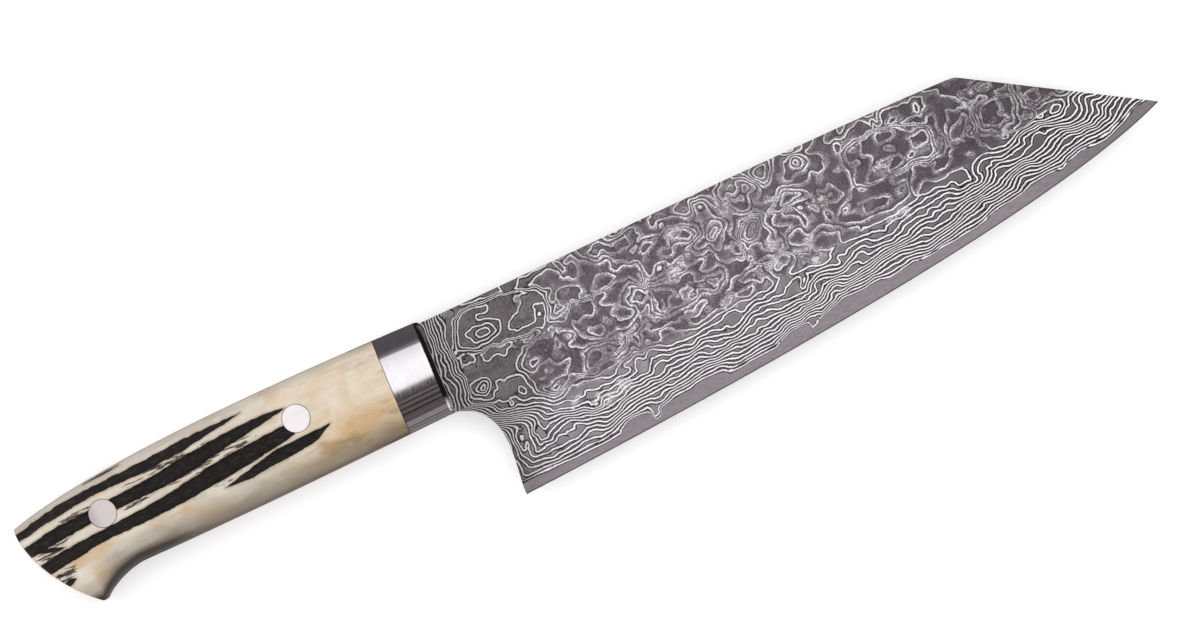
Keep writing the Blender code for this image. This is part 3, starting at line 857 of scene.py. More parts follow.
def finishLayer(piece, slot, node):
    reach = knife["spineThickness"]
    drill(piece, rivets["places"].values(), rivets["shankHole"], -reach, reach)
    drill(piece, pinPlaces, bolster["pinHole"], -reach, reach)
    pick(piece)
    bpy.ops.object.shade_smooth_by_angle(angle=math.radians(25))
    x, y, z = coordinates(piece).T
    side = np.where(z < 0, -1, 1)
    step = layers["step"]
    flow, beside, above = (
        np.where(side > 0, layerFlow(x + dx, y + dy, 1), layerFlow(x + dx, y + dy, -1))
        for dx, dy in ((0, 0), (step, 0), (0, step)))
    sunk = np.clip(halfBlade(x, y) - np.abs(z), 0, None) / (knife["spineThickness"] / 2)
    over = edgeDistance(x, y)
    # the middle of the flat looks frosty, less so along the spine; the heel and the bevel stay crisp
    inland = np.maximum(smoothStep(x, 26, 40), smoothStep(x, 16, 24) * smoothStep(-y, 12, 16))
    addAttributes(
        piece, layer=flow - layers["perThickness"] * sunk, overEdge=over,
        layerSlope=np.hypot(beside - flow, above - flow) / step,
        frosty=smoothStep(over, 15, 19) * inland * (0.55 + 0.45 * smoothStep(-y, 1, 5)),
        contrast=0.70 + 0.30 * smoothStep(over, 20, 15) * smoothStep(x, 4, 14),
        patch=np.where(side > 0, patchShare(x, y, 1), patchShare(x, y, -1)))
    layOutBake(piece)
    seat(piece, slot, node)


def smoothNoise(x, y, size, seed):  # -1 to 1, soft lumps about as wide as size
    count = 96
    knots = np.random.default_rng(seed).uniform(-1, 1, (count, count))
    sizeX, sizeY = np.broadcast_to(size, 2)
    u, v = x / sizeX + 37.3, y / sizeY + 41.7
    i, j = np.floor(u).astype(int), np.floor(v).astype(int)
    fu, fv = (share * share * share * (share * (share * 6 - 15) + 10) for share in (u - i, v - j))
    low, high = (
        knots[i % count, (j + up) % count] * (1 - fu) + knots[(i + 1) % count, (j + up) % count] * fu
        for up in (0, 1))
    return low * (1 - fv) + high * fv


def smoothStep(value, low, high):
    t = np.clip((value - low) / (high - low), 0, 1)
    return t * t * (3 - 2 * t)


layers = {
    "perThickness": 17.5,  # layers from the middle plane out to the flat
    "step": 0.12,
    "wallSlope": 14.0,
    "ringStart": -0.3,  # where a hill's slope starts, as a share of the way from its middle
    "plateauStart": 0.8,
    "widest": 0.22,  # slopes that stand for the widest and the narrowest lines
    "narrowest": 1.0,
    "patchMirror": 158,  # what turns a place on the right side into one on the left
    "hillMirror": 150,
}

# x, depth, half width, half height, turn, lines, squareness
plateaus = (
    (18.6, 7.8, 13.4, 6.2, -6, 2.6, 3.4),
    (34.5, 20.0, 19.0, 8.6, 12, 2.4, 3.0),
    (63.0, 15.0, 11.0, 10.5, 0, 2.0, 3.0),
    (88.0, 17.0, 10.5, 7.0, -14, 2.0, 2.8),
    (121.0, 10.5, 12.0, 6.5, -6, 2.0, 2.8),
    (149.0, 14.0, 9.5, 4.5, -8, 1.8, 2.8),
)
hills = (
    (13.3, 8.6, 6.3, 4.4, 3, 4.3, 3.0),
    (5.3, 10.1, 2.6, 2.0, 12, 1.5, 2.0),
    (6.9, 12.9, 1.6, 1.6, 0, 1.0, 2.0),
    (7.5, 21.3, 4.2, 4.2, 0, 3.6, 2.0),
    (15.8, 25.8, 2.2, 2.7, 0, 1.6, 2.0),
    (11.4, 27.3, 1.9, 1.9, 0, 1.2, 2.0),
    (23.2, 29.0, 4.6, 3.5, 10, 2.5, 2.4),
    (20.9, 32.9, 2.3, 1.3, 0, 1.1, 2.0),
    (14.9, 35.5, 3.6, 1.7, 20, 1.4, 2.2),
    (28.2, 11.1, 1.9, 1.9, 0, 1.2, 2.0),
    (32.1, 17.6, 2.7, 3.1, 0, 2.3, 2.0),
    (9.6, 37.0, 1.8, 5.4, -4, 1.8, 2.6),
    (21.4, 20.2, 3.8, 1.9, 14, 1.5, 2.2),
    (29.0, 17.6, 1.5, 2.9, -12, 1.4, 2.0),
    (46.8, 0.2, 6.6, 4.4, 0, 3.3, 2.2),
    (36.9, 1.8, 1.9, 2.5, 0, 1.6, 2.0),
    (38.0, 5.2, 7.5, 4.4, 6, 1.2, 3.0),
    (52.8, 26.2, 2.6, 2.0, 0, 1.4, 2.0),
    (34.5, 27.6, 4.6, 3.0, 34, 1.7, 2.4),
    (45.8, 28.5, 2.5, 6.8, 0, 2.1, 2.4),
    (91.0, 0.9, 4.8, 4.6, 0, 3.6, 2.0),
    (99.0, 3.2, 4.4, 5.0, 0, 3.1, 2.0),
    (69.8, 2.0, 3.6, 2.3, 0, 1.5, 2.4),
    (79.0, 5.0, 3.6, 7.0, 6, 2.0, 2.6),
    (69.6, 7.8, 6.6, 3.2, -4, 1.5, 3.0),
    (100.2, 17.2, 2.5, 2.5, 0, 1.5, 2.0),
    (105.2, 17.6, 2.2, 2.2, 0, 1.3, 2.0),
    (81.9, 26.0, 4.4, 4.4, 0, 2.4, 2.2),
    (64.0, 23.0, 2.0, 2.2, 0, 1.3, 2.0),
    (99.5, 10.0, 6.8, 3.5, 8, 1.6, 3.0),
    (111.5, 14.0, 3.7, 3.4, 0, 1.5, 2.0),
    (110.2, 3.8, 1.7, 2.9, 0, 1.5, 2.0),
    (120.1, 3.1, 1.5, 2.9, 0, 1.5, 2.0),
    (132.3, 2.9, 2.0, 4.2, -8, 1.6, 2.0),
    (144.3, 4.5, 1.9, 1.9, 0, 1.6, 2.0),
    (134.7, 13.4, 3.2, 2.1, 14, 1.4, 2.0),
    (130.3, 18.1, 2.6, 2.0, 0, 1.3, 2.0),
    (139.2, 19.4, 2.8, 1.7, 0, 1.3, 2.0),
    (154.2, 19.0, 5.4, 1.9, 6, 1.4, 2.0),
    (163.0, 18.5, 3.8, 1.7, 0, 1.2, 2.0),
    (143.9, 10.9, 4.4, 3.9, 0, 1.6, 2.4),
    (30.2, 36.0, 3.0, 3.8, 0, 2.0, 3.0),
    (36.5, 35.2, 4.6, 2.2, 0, 0.9, 3.0),
    (88.3, 31.0, 1.6, 2.8, 0, 1.6, 2.6),
)

# where the plain core ends, in millimetres over the edge
coreBorder = (
    (6, 2.2), (15, 2.0), (27, 1.9), (33, 2.0), (35, 3.6), (37, 5.5), (39.6, 4.8), (41.2, 3.4), (42.3, 1.2),
    (43.8, 1.3), (45, 3.4), (47, 3.9), (50, 2.8), (55, 3.2), (58.5, 4.6), (61, 3.4), (63.5, 1.8), (69, 2.6),
    (76, 2.4), (80, 4.2), (84, 5.0), (85.4, 4.4), (86.6, 1.9), (88, 2.4), (90, 4.1), (95, 4.5), (100, 4.7),
    (105, 3.6), (110, 3.0), (120, 2.7), (135, 2.6), (142, 3.4), (150, 3.3), (155, 2.9), (158, 2.1),
    (160, 2.9), (163, 3.2), (167, 2.3), (172, 1.5), (176, 1.8), (180, 2.3), (187, 2.0),
)

# where the etch left a bright frosty patch: x, depth, half width, half height
frostPatches = (
    (34.2, 35.4, 3.6, 2.0), (38.6, 35.2, 2.4, 1.7), (95.2, 26.4, 3.4, 2.6), (62.1, 20.5, 2.6, 2.4),
    (42.4, 23.8, 2.6, 1.6), (23.0, 24.8, 2.6, 1.1), (99.6, 14.1, 3.4, 2.0), (33.0, 11.5, 2.0, 2.0),
    (76.5, 15.6, 2.2, 1.5), (51.0, 23.2, 2.0, 2.4), (55.5, 21.6, 1.6, 2.6), (116.9, 25.5, 3.0, 1.6),
    (90.5, 9.4, 4.2, 1.6), (30.4, 12.8, 1.6, 1.6), (86.1, 19.5, 3.4, 2.2), (64.0, 12.8, 2.6, 1.8),
    (61.2, 14.8, 2.2, 3.4), (93.8, 21.8, 2.4, 1.4), (84.0, 23.6, 2.4, 1.6), (64.8, 6.6, 2.4, 1.6),
    (39.2, 29.1, 2.0, 1.4), (26.1, 32.8, 1.8, 1.0), (79.0, 5.0, 1.8, 3.4), (107.5, 19.5, 2.4, 1.6),
    (118.0, 13.0, 3.0, 1.6), (128.0, 12.5, 2.4, 2.0), (136.5, 14.5, 2.8, 1.4), (143.5, 7.0, 2.4, 1.6),
    (148.0, 18.5, 2.6, 1.2), (70.5, 27.5, 2.6, 1.4),
)


def patchShare(x, y, side):  # 1 in the middle of a frosty patch
    wx = x + 1.6 * smoothNoise(x, y, 2.4, 71) + 0.6 * smoothNoise(x, y, 0.9, 73)
    wy = y + 1.3 * smoothNoise(x, y, 2.0, 72) + 0.6 * smoothNoise(x, y, 0.9, 74)
    found = np.zeros(len(x))
    for px, depth, halfWidth, halfHeight in frostPatches:
        px = px if side > 0 else layers["patchMirror"] - px
        found = np.maximum(found, 1 - ((wx - px) / halfWidth) ** 2 - ((wy + depth) / halfHeight) ** 2)
    return np.clip(found, 0, 1)


# the line along which the layers run out, down the bolster and the choil
backLine = np.concatenate([
    [(bolster["front"], 2), (bolster["front"], 0), (-1.0, -15)], choilLine[::-1], [(knife["heelX"], -52)]])


def layerFlow(x, y, side=1):  # the number of the layer that shows at a place
    seed = 0 if side > 0 else 500

    def rough(number, size, u=x, v=y):
        return smoothNoise(u, v, size, seed + number)

    # hammering pushes every line about a little
    over = edgeDistance(x, y)
    calm = 0.5 + 0.5 * smoothStep(x, 24, 42)
    wx = x + 1.3 * calm * rough(1, 6) + 0.5 * rough(2, 2.3)
    wy = y + 1.1 * calm * rough(3, 6) + 0.5 * rough(4, 2.3)
    # the bevel cuts down through the layers
    lineX, border = np.array(coreBorder).T
    sharp = np.interp(x + 0.35 * rough(9, 3.0), lineX, border)
    border = np.mean([np.interp(x + d, lineX, border) for d in (-3.5, -1.5, 1.5, 3.5)], axis=0)
    raised = over - (1 - smoothStep(over, 3.5, 10.5)) * (border - 2.5)
    raised = raised - (1 - smoothStep(over, 2.2, 5.0)) * (sharp - border)
    high = np.interp(x, (0, 20, 60, 80, 150, 186), (17.5, 18.5, 18.0, 16.5, 16.5, 15.5))
    cut = np.interp(raised * 17 / high, (0, 2.5, 4.0, 9, 13, 17, 60), (-5.5, 0, 1.9, 7.0, 10.9, 13.6, 15.2))
    low = smoothStep(over, 20, 13)
    drift = 0.7 * rough(10, (9, 4))
    waves = 1.7 * rough(11, (8.5, 12.0), x + 1.1 * y + drift)
    waves += 1.0 * rough(12, (4.4, 4.0), x - 0.9 * y, y + drift)
    waves += 0.36 * rough(13, (2.0, 2.2), x + 0.7 * y)
    bumps = 2.3 * rough(21, (9.5, 7.0), wx, wy) + 1.1 * rough(22, (4.2, 3.6), wx, wy)
    busy = smoothStep(x, 16, 30) * (1 - 0.45 * smoothStep(x, 70, 110))  # smaller cells in the rear half
    bumps = bumps + 0.62 * busy * rough(24, (2.7, 2.2), wx, wy)
    bumps = bumps * calm + 0.16 * rough(23, 1.6)
    flow = cut + low * waves * (0.45 + 0.55 * smoothStep(over, 3, 8)) + (1 - low) * bumps
    # the layers run out along the bolster and the choil
    away = x - np.interp(-y, -backLine[:, 1], backLine[:, 0]) + 0.9 * rough(31, (3.5, 4.0)) + 0.35 * rough(32, 1.9)
    reach = np.interp(-y, (0, 24, 31), (5.6, 5.2, 3.8))
    count = np.interp(-y, (0, 24, 31), (6.2, 6.0, 3.8))
    beside = flow - count * (1 - np.clip(away / reach, 0, 1))
    cap = 1.4 + 0.8 * away  # at the choil they turn up and run beside it
    turned = -0.6 * np.logaddexp(-flow / 0.6, -cap / 0.6)
    low = smoothStep(-y, 27, 33)
    flow = (1 - low) * beside + low * turned
    for rows, start in ((plateaus, layers["plateauStart"]), (hills, layers["ringStart"])):
        for hx, depth, halfWidth, halfHeight, turn, lines, square in rows:
            hx = hx if side > 0 else layers["hillMirror"] - hx
            u, v = aroundCentre(wx - hx, wy + depth, turn)
            r = ((np.abs(u) / halfWidth) ** square + (np.abs(v) / halfHeight) ** square) ** (1 / square)
            flow += lines * np.where(r < 1, 1 - smoothStep(r, start, 1.0), 0)
    return flow


# material helpers


def linear(r, g, b, a=1.0):  # a colour as a picture writes it, 0 to 255, for a shader
    return tuple((c / 255 / 12.92 if c < 10.4 else ((c / 255 + 0.055) / 1.055) ** 2.4) for c in (r, g, b)) + (a,)


def isSocket(value):
    return isinstance(value, bpy.types.NodeSocket)


def feed(node, links):  # values or other nodes' outputs go into a node's inputs
    for key, value in links.items():
        if isSocket(value):
            node.id_data.links.new(value, node.inputs[key])
        else:
            node.inputs[key].default_value = value


def newNode(tree, kind, links=None, **settings):
    node = tree.nodes.new("ShaderNode" + kind)
    for key, value in settings.items():
        setattr(node, key, value)
    feed(node, links or {})
    return node


def derive(kind, links, output=0, **settings):  # a new node in the tree of what feeds it
    tree = next(value.id_data for value in links.values() if isSocket(value))
    return newNode(tree, kind, links, **settings).outputs[output]


def calc(operation, *values, clamp=False):
    return derive("Math", dict(enumerate(values)), operation=operation, use_clamp=clamp)


def times(first, second):
    return calc("MULTIPLY", first, second)


def ramp(value, low, high, toLow=0.0, toHigh=1.0, kind="SMOOTHSTEP"):
    return derive("MapRange", {
        "Value": value, "From Min": low, "From Max": high, "To Min": toLow, "To Max": toHigh,
    }, interpolation_type=kind)


def between(share, first, second):  # two plain values
    return derive("Mix", {0: share, 2: first, 3: second}, data_type="FLOAT")


def blendColours(share, first, second):
    return derive("Mix", {0: share, 6: first, 7: second}, 2, data_type="RGBA")


def coat(colour, *coats):  # lays colours over one another, each with its share
    for share, over in coats:
        colour = blendColours(share, colour, linear(*over))
    return colour


def noiseAt(vector, size, detail=2.0, roughness=0.5, distortion=0.0):  # size in the vector's units
    scale = calc("DIVIDE", 1.0, size) if isSocket(size) else 1 / size
    return derive("TexNoise", {
        "Vector": vector, "Scale": scale, "Detail": detail, "Roughness": roughness, "Distortion": distortion,
    })


def axes(vector):
    return newNode(vector.id_data, "SeparateXYZ", {0: vector}).outputs


def drawingPlace(tree, stretch=(1, 1, 1)):  # the point in drawing millimetres, stretched for grain
    place = newNode(tree, "TexCoord").outputs["Object"]
    moved = derive("VectorMath", {0: place, 1: tuple(-d for d in datum)}, operation="ADD")
    return derive("VectorMath", {0: moved, 1: tuple(s / mm for s in stretch)}, operation="MULTIPLY")


def bumpFrom(height, distance, strength):
    return derive("Bump", {"Height": height, "Distance": distance * mm, "Strength": strength})


def newMaterial(name):
    material = bpy.data.materials.new(name)
    material.use_nodes = True
    return material, material.node_tree, material.node_tree.nodes["Principled BSDF"]


def attributesAt(tree, *names):
    return [newNode(tree, "Attribute", attribute_name=name).outputs["Fac"] for name in names]


def makeMarks():
    # polishing lines and the soft clouds left by handling, for each polished steel
    group = bpy.data.node_groups.new("polishMarks", "ShaderNodeTree")
    for way, kind, keys in (
            ("INPUT", "Vector", ("Place",)), ("INPUT", "Float", ("Line Width", "Cloud Width")),
            ("OUTPUT", "Float", ("Lines", "Clouds"))):
        for key in keys:
            group.interface.new_socket(key, in_out=way, socket_type="NodeSocket" + kind)
    given, result = group.nodes.new("NodeGroupInput"), group.nodes.new("NodeGroupOutput")
    place, lineWidth, cloudWidth = given.outputs[:3]
    drawnOut = derive("VectorMath", {0: place, 1: (1.0, 0.06, 0.06)}, operation="MULTIPLY")
    feed(result, {
        "Lines": noiseAt(drawnOut, lineWidth, 3.0, 0.6), "Clouds": noiseAt(place, cloudWidth, 3.0, 0.6)})
    return group


# layered steel


def makeDamascus():
    material, tree, shader = newMaterial("damascusSteel")
    at = drawingPlace(tree)
    x = axes(at)[0]
    flow, slope, frosty, contrast, patch, overEdge = attributesAt(
        tree, "layer", "layerSlope", "frosty", "contrast", "patch", "overEdge")
    facing = axes(newNode(tree, "NewGeometry").outputs["True Normal"])[2]
    wall = ramp(calc("ABSOLUTE", facing), 0.6, 0.8, 1.0, 0.0)
    slope = between(wall, slope, layers["wallSlope"])
    firm = ramp(slope, 0.04, 0.24, 0.1, 1.0)  # a line fades where its layer lies flat in the surface
    slope = calc("MAXIMUM", slope, layers["widest"])

    # fine unevenness of the etched lines
    wobble = calc("SUBTRACT", noiseAt(at, 0.8, 3.0, 0.6), 0.5)
    sway = calc("MINIMUM", times(slope, 0.38), 0.22)
    flow = calc("MULTIPLY_ADD", wobble, sway, flow)
    phase = calc("SUBTRACT", calc("FRACT", flow), 0.5)
    away = calc("DIVIDE", phase, calc("MINIMUM", slope, layers["narrowest"]))  # millimetres over the line
    ribs = noiseAt(drawingPlace(tree, (1, 0.4, 1)), 0.34, 2.0, 0.7)
    away = calc("MULTIPLY_ADD", calc("SUBTRACT", ribs, 0.5), 0.34, away)
    uneven = ramp(noiseAt(at, 1.7, 3.0, 0.65), 0.34, 0.50, 0.72, 1.0)
    bright = times(ramp(calc("ABSOLUTE", away), 0.28, 0.09), uneven)
    # each line has a painted shadow under it, a fainter one over it, and below that the layer fades
    under = ramp(calc("ABSOLUTE", calc("ADD", away, 0.34)), 0.30, 0.06)
    above = ramp(calc("ABSOLUTE", calc("SUBTRACT", away, 0.34)), 0.24, 0.06, 0.0, 0.8)
    below = times(away, -1.0)
    glow = times(ramp(below, 1.2, 0.3), ramp(below, 0.0, 0.2))

    # broken, frosty lines in the middle of the blade
    speck = noiseAt(at, 0.42, 2.0, 0.7)
    strength = ramp(noiseAt(at, 5.5, 3.0, 0.6), 0.40, 0.60, 0.2, 1.2)
    strength = times(strength, ramp(x, 130, 150, 1.0, 0.6))
    frost = times(ramp(below, 1.3, 0.15), ramp(below, -0.35, -0.05))
    frost = times(frost, ramp(speck, 0.44, 0.62))
    wearAndShade = between(frosty, 1.0, times(strength, ramp(speck, 0.36, 0.52, 0.35, 1.0)))
    bright = times(bright, times(wearAndShade, ramp(contrast, 0.7, 1.0, 0.84, 1.0)))
    frost = times(frost, times(frosty, ramp(strength, 0.2, 1.2, 0.3, 0.68)))
    bright = times(calc("MAXIMUM", bright, frost), firm)
    powder = times(ramp(patch, 0.0, 0.9), ramp(speck, 0.38, 0.62, 0.1, 0.8))
    powder = times(powder, ramp(noiseAt(at, 1.6, 3.0, 0.65), 0.38, 0.58, 0.15, 1.0))
    bright = calc("MAXIMUM", bright, powder)
    crisp = calc("SUBTRACT", 1.0, times(frosty, 0.7))
    lineShadow = times(times(calc("MAXIMUM", under, above), firm), crisp)

    # greener grey near the spine and heel, mauve in the middle, cloudy all over
    cloud, tone = noiseAt(at, 16.0, 3.0), noiseAt(at, 3.8, 3.0, 0.6)
    mottle = noiseAt(at, 0.4, 4.0, 0.75)
    mauve = calc("MULTIPLY_ADD", frosty, 0.5, calc("SUBTRACT", cloud, 0.25), clamp=True)
    ground = coat(
        linear(114, 113, 113),
        (ramp(mauve, 0.2, 0.6), (103, 94, 98)),
        (ramp(tone, 0.52, 0.68, 0.0, 0.6), (142, 134, 138)),
        (ramp(tone, 0.49, 0.36, 0.0, 0.5), (74, 67, 71)),
        (ramp(mottle, 0.44, 0.66, 0.0, 0.4), (164, 156, 160)),
        (ramp(mottle, 0.46, 0.34, 0.0, 0.5), (72, 66, 70)),
        (times(glow, ramp(contrast, 0.75, 1.0, 0.35, 0.85)), (188, 181, 185)),
        (ramp(contrast, 0.75, 1.0, 0.0, 0.36), (158, 150, 155)),
        (times(ramp(x, 90, 0, 0.06, 0.28), ramp(contrast, 0.75, 1.0)), (204, 198, 202)),
        (ramp(x, 84, 160, 0.0, 0.5), (56, 50, 53)),  # darker to the point
    )
    # colour of the painted line shadows, darker towards the point
    deep = coat(linear(46, 41, 44), (ramp(x, 60, 160), (15, 12, 14)))
    pattern = coat(blendColours(lineShadow, ground, deep), (bright, (255, 252, 254)))

    # plain core below the last layer, with the dark whetted edge
    cladding = ramp(flow, -0.12, 0.02)
    satin = noiseAt(drawingPlace(tree, (0.35, 1.6, 1)), 0.5, 3.0, 0.7)
    core = coat(
        linear(139, 131, 136),
        (ramp(satin, 0.3, 0.7), (159, 151, 156)),
        (ramp(x, 40, 0, 0.0, 0.25), (200, 193, 198)),
        (ramp(x, 140, 175, 0.0, 0.3), (84, 78, 81)),
        (ramp(overEdge, 0.42, 0.22, 0.0, 0.8), (78, 72, 75)),
    )
    relief = times(calc("MULTIPLY_ADD", mottle, 0.25, bright), cladding)
    feed(shader, {
        "Base Color": blendColours(cladding, core, pattern), "Metallic": 1.0,
        "Roughness": between(times(bright, cladding), 0.48, 0.32), "Normal": bumpFrom(relief, 0.02, 0.4)})
    return material


def makePolished(name, colour, dull, roughness, marks, adapt):
    material, tree, shader = newMaterial(name)
    lines, clouds = newNode(tree, "Group", {
        "Place": drawingPlace(tree), "Line Width": 0.12, "Cloud Width": 3.0}, node_tree=marks).outputs
    shine = coat(linear(*colour), (ramp(clouds, 0.35, 0.7), dull))
    feed(shader, {
        "Base Color": adapt(tree, shine), "Metallic": 1.0,
        "Roughness": ramp(lines, 0.35, 0.75, roughness, roughness + 0.06), "Normal": bumpFrom(lines, 0.002, 0.25)})
    return material


def paintCornerShade(tree, shine):  # painted shade: a dark band in the corner that the blade and the bolster's front edge make, standing in for the blade's dark reflection in that edge
    at = drawingPlace(tree)
    behind = attributesAt(tree, "behindFront")[0]
    ragged = calc("MULTIPLY_ADD", noiseAt(at, 0.9, 3.0), 0.3, behind)
    corner = times(ramp(ragged, 1.55, 1.30), ramp(axes(at)[1], -22.0, -18.5))
    corner = times(corner, ramp(behind, 0.0, 0.2, 0.45, 1.0))  # the front face keeps some shine
    return coat(shine, (corner, (26, 22, 24)))


def paintRearRivetShade(tree, shine):  # painted shade on the rear rivet: greyer all over than the front one, with a painted shadow darkening its rear side
    x = axes(drawingPlace(tree))[0]
    wearAndShade = coat(linear(208, 198, 197), (ramp(x, -89.6, -92.8, 0.0, 0.7), (160, 148, 146)))
    return blendColours(ramp(x, -50, -75, 0.0, 0.85), shine, wearAndShade)


# bone


def makeBone():
    material, tree, shader = newMaterial("jiggedBone")
    x = axes(drawingPlace(tree))[0]
    dye, feather, overBelly, underTop = attributesAt(tree, "dye", "feather", "overBelly", "underTop")
    along, wide, long = (drawingPlace(tree, (stretch, 1, 1)) for stretch in (0.35, 0.6, 0.3))
    cloud = noiseAt(wide, 8.0, 3.0, 0.55, 0.6)
    ivory = coat(linear(209, 200, 187), (ramp(cloud, 0.36, 0.62), (226, 219, 208)))
    cream = coat(linear(214, 194, 162), (cloud, (228, 212, 186)))
    # honey-coloured clouds, most of them towards the bolster and the belly
    often = calc("ADD", ramp(x, -62, -16, 0.0, 0.09), ramp(overBelly, 16, 4, 0.0, 0.06))
    honey = calc("ADD", noiseAt(wide, 9.0, 2.5, 0.5, 0.35), often)
    brown = calc("ADD", noiseAt(along, 3.4, 4.0, 0.6, 0.3), often)
    # painted highlight: the upper front of the handle is paler
    upperFrontHighlight = times(ramp(overBelly, 8, 13), ramp(x, -66, -46, 0.0, 0.42))
    # faint growth lines and pores
    grain = noiseAt(drawingPlace(tree, (0.07, 1, 1)), 0.5, 3.0, 0.6)
    pore = noiseAt(long, 0.25, 1.0)
    # painted shade along both rims: darker towards the belly, dark bands along the belly and the hook where the handle
    # rounds away underneath, and a grey band with a dark line under the top
    low = calc("MULTIPLY_ADD", calc("SUBTRACT", cloud, 0.5), 3.0, overBelly)
    hook = times(ramp(x, -70, -84), ramp(low, 4.0, 1.2))
    hookRimShade = times(ramp(x, -62, -80, 0.0, 0.88), ramp(overBelly, 2.5, 1.3))
    bone = coat(
        blendColours(ramp(x, -60, -22, 0.15, 0.8), ivory, cream),
        (ramp(honey, 0.50, 0.78, 0.0, 0.85), (204, 170, 120)),
        (ramp(brown, 0.64, 0.86, 0.0, 0.6), (150, 116, 80)),
        (times(upperFrontHighlight, ramp(cloud, 0.3, 0.6)), (240, 232, 220)),
        (ramp(grain, 0.45, 0.8, 0.0, 0.30), (178, 154, 124)),
        (ramp(pore, 0.70, 0.76, 0.0, 0.35), (130, 100, 70)),
        # painted shade along the belly, the hook and under the top rim
        (ramp(low, 9.0, 0.4, 0.0, 0.82), (113, 99, 81)),
        (ramp(overBelly, 1.5, 0.1, 0.0, 0.75), (74, 60, 46)),
        (times(hook, 0.82), (62, 48, 37)),
        (hookRimShade, (42, 32, 27)),
        (ramp(underTop, 3.0, 0.1, 0.0, 0.4), (150, 145, 138)),
        (ramp(underTop, 0.5, 0.1, 0.0, 0.5), (84, 76, 68)),
    )

    # dye in the carved grooves, slivers of it on the ridges, and a faint stain round it
    edge = calc("ADD", dye, ramp(noiseAt(along, 0.6, 4.0, 0.7), 0.25, 0.75, -0.16, 0.16, "LINEAR"))
    sliver = noiseAt(drawingPlace(tree, (0.14, 1, 1)), 0.55, 3.0, 0.65, 0.3)
    sliver = ramp(calc("MULTIPLY_ADD", feather, 0.17, sliver), 0.59, 0.68)
    inked = calc("MAXIMUM", ramp(edge, -0.10, 0.06), times(sliver, ramp(feather, 0.0, 0.3, 0.0, 0.92)))
    stained = coat(bone, (ramp(edge, -0.8, 0.05, 0.0, 0.5), (150, 130, 108)))
    depths = noiseAt(long, 0.6, 3.0, 0.65)
    ink = coat(linear(12, 9, 8), (ramp(depths, 0.45, 0.8), (52, 43, 37)))
    gloss = calc("MULTIPLY_ADD", grain, 0.08, between(inked, 0.34, 0.55))
    carved = calc("MULTIPLY_ADD", grain, 0.12, times(depths, inked))
    height = calc("SUBTRACT", carved, times(inked, 0.6))
    feed(shader, {
        "Base Color": blendColours(inked, stained, ink), "Specular IOR Level": 0.25,
        "Roughness": gloss, "Normal": bumpFrom(height, 0.10, 0.6)})
    return material


def dress(piece, material):
    piece.data.materials.clear()
    piece.data.materials.append(material)


def dressNode(node, material):  # a solid that is kept as it is
    for holder in node.material_slots:
        holder.material = material


# build

damascusSteel = makeDamascus()
marks = makeMarks()
mirrorSteel = makePolished("mirrorSteel", (246, 244, 246), (240, 237, 240), 0.05, marks, paintCornerShade)
rivetSteel = makePolished("rivetSteel", (247, 242, 243), (241, 236, 237), 0.12, marks, paintRearRivetShade)
bone = makeBone()
print("materials made")

for side, key in ((1, "right"), (-1, "left")):
    dress(makeBolster(f"polished_bolster_{key}", side), mirrorSteel)
    dress(makeScale(f"jigged_scale_{key}", side), bone)
    dress(makeCladding(f"layered_cladding_{key}", side), damascusSteel)
for key, (x, y) in rivets["places"].items():
    for piece in makeRivet(key, x, y):
        dress(piece, rivetSteel)
dress(makeCore("ground_core"), damascusSteel)
for key in ("upper", "lower"):
    dressNode(nodes[f"bolster_pin_{key}"], rivetSteel)
print("pieces made")

# stage, light and camera

studio = {
    "lens": 300.0,
    "sensor": 36.0,
    "viewWidth": 292.7,  # width of the picture at the blade, in mm
    "lookAt": (40.5, -17.0, 1.0),
    "roll": 24.95,
    "floorSize": 6.0,
    "floorDrop": 0.0001,
    "floorLift": 0.32,
    "ambient": 0.55,
    "softboxPlace": (0.0, 0.15, 1.1),
    "softboxSize": (1.8, 1.6),
    "softboxWatts": 10.0,
}

tent = {
    "middleX": -6,
    "middleY": -9.5,
    "middleZ": 4.0,
    "radius": 60.0,
    "length": 27.0,
    "floorGap": 0.4,
    "width": 118.0,
    "sides": 180,
}


def makeFloor():
    floor = addShape(
        bpy.ops.mesh.primitive_plane_add, size=studio["floorSize"],
        location=(0, 0, cadLow.z - studio["floorDrop"]))
    floor.name = "paleFloor"
    material, tree, shader = newMaterial("palePaper")
    paper = noiseAt(newNode(tree, "TexCoord").outputs["Object"], 0.004, 3.0)
    seen = newNode(tree, "LightPath").outputs["Is Camera Ray"]
    feed(shader, {
        "Base Color": blendColours(paper, (0.93, 0.925, 0.93, 1), (0.95, 0.945, 0.95, 1)),
        "Roughness": 0.9, "Specular IOR Level": 0.1, "Emission Color": (1, 1, 1, 1),
        "Emission Strength": times(seen, studio["floorLift"])})
    dress(floor, material)


def makeWorld():
    world = bpy.data.worlds.new("softStudio")
    bpy.context.scene.world = world
    world.use_nodes = True
    path = newNode(world.node_tree, "LightPath").outputs
    seen = calc("MAXIMUM", path["Is Camera Ray"], path["Is Glossy Ray"])
    seen = calc("MAXIMUM", seen, path["Is Transmission Ray"])
    feed(world.node_tree.nodes["Background"], {
        "Color": (1, 0.99, 1, 1), "Strength": ramp(seen, 0, 1, studio["ambient"], 1.0, "LINEAR")})


def addToScene(name, data):
    thing = bpy.data.objects.new(name, data)
    bpy.context.scene.collection.objects.link(thing)
    return thing


def makeSoftbox():
    light = bpy.data.lights.new("overheadSoftbox", "AREA")
    light.shape, light.energy = "RECTANGLE", studio["softboxWatts"]
    light.size, light.size_y = studio["softboxSize"]
    lamp = addToScene("overheadSoftbox", light)
    lamp.location = studio["softboxPlace"]
    lamp.visible_camera = lamp.visible_glossy = False  # metal mirrors the even white world alone
    lamp.rotation_euler = (Vector() - lamp.location).to_track_quat("-Z", "Y").to_euler()


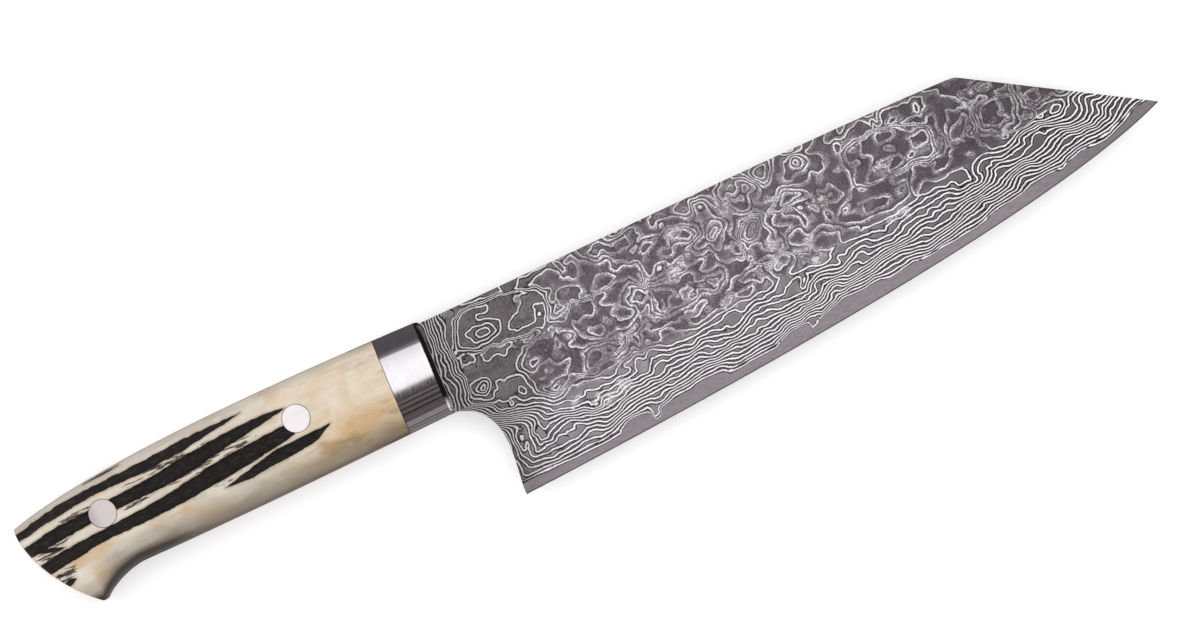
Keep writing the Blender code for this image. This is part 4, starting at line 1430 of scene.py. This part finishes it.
def makeTent():
    # an arched reflector over the bolster, which only polished metal sees: its painted bands give the
    # curved steel its dark and bright bands
    foot = tent["floorGap"] - datum.z / mm
    arch = addShape(
        bpy.ops.mesh.primitive_cylinder_add, vertices=tent["sides"], radius=tent["radius"] * mm,
        depth=tent["length"] * mm, end_fill_type="NOTHING", rotation=(0, math.pi / 2, 0),
        location=toWorld((tent["middleX"], tent["middleY"], tent["middleZ"])))
    arch.name = "reflectorArch"
    settle()
    selectFaces(arch, lambda centre, normal: centre.z < foot)
    bpy.ops.mesh.delete(type="FACE")
    bpy.ops.object.mode_set(mode="OBJECT")
    strip = addShape(
        bpy.ops.mesh.primitive_plane_add, size=mm, location=toWorld((tent["middleX"], tent["middleY"], foot)))
    strip.scale = (tent["length"], tent["width"], 1)
    settle()
    arch.select_set(True)
    bpy.context.view_layer.objects.active = arch
    bpy.ops.object.join()

    material, tree, shader = newMaterial("paintedReflector")
    at = drawingPlace(tree)
    y, z = axes(at)[1:]
    across, up = calc("SUBTRACT", y, tent["middleY"]), calc("SUBTRACT", z, tent["middleZ"])
    angle = times(calc("ARCTAN2", across, up), 180 / math.pi)  # degrees from straight up
    streak = noiseAt(drawingPlace(tree, (0.02, 1, 1)), 7.0, 3.0, 0.7)
    spread = noiseAt(at, 30.0, 2.0)
    lowest = coat(linear(78, 73, 74), (ramp(streak, 0.36, 0.62), (150, 144, 145)))
    bellySide = coat(linear(44, 40, 42), (ramp(streak, 0.38, 0.66), (112, 104, 104)))
    bellySide = blendColours(ramp(angle, -54, -68), bellySide, lowest)
    spineSide = coat(
        linear(128, 125, 128), (ramp(angle, 14, 40), (84, 81, 84)), (ramp(spread, 0.3, 0.7, 0.0, 0.2), (60, 58, 60)))
    colour = blendColours(ramp(angle, -2.8, -3.6), (1.1, 1.09, 1.1, 1), bellySide)
    feed(shader, {
        "Emission Color": blendColours(ramp(angle, 0.5, 13), colour, spineSide), "Emission Strength": 1.0,
        "Base Color": (0, 0, 0, 1), "Roughness": 1.0, "Specular IOR Level": 0.0})
    dress(arch, material)
    arch.visible_camera = arch.visible_diffuse = arch.visible_shadow = arch.visible_transmission = False


def makeCamera():
    data = bpy.data.cameras.new("photoView")
    data.lens, data.sensor_width, data.clip_end = studio["lens"], studio["sensor"], 20
    camera = addToScene("photoView", data)
    distance = studio["viewWidth"] * mm * studio["lens"] / studio["sensor"]
    camera.location = Vector(toWorld(studio["lookAt"])) + Vector((0, 0, distance))
    camera.rotation_euler = (0, 0, math.radians(-studio["roll"]))
    bpy.context.scene.camera = camera


makeFloor()
makeWorld()
makeSoftbox()
makeTent()
makeCamera()
bpy.context.scene.view_settings.view_transform = "Standard"
print("stage set")
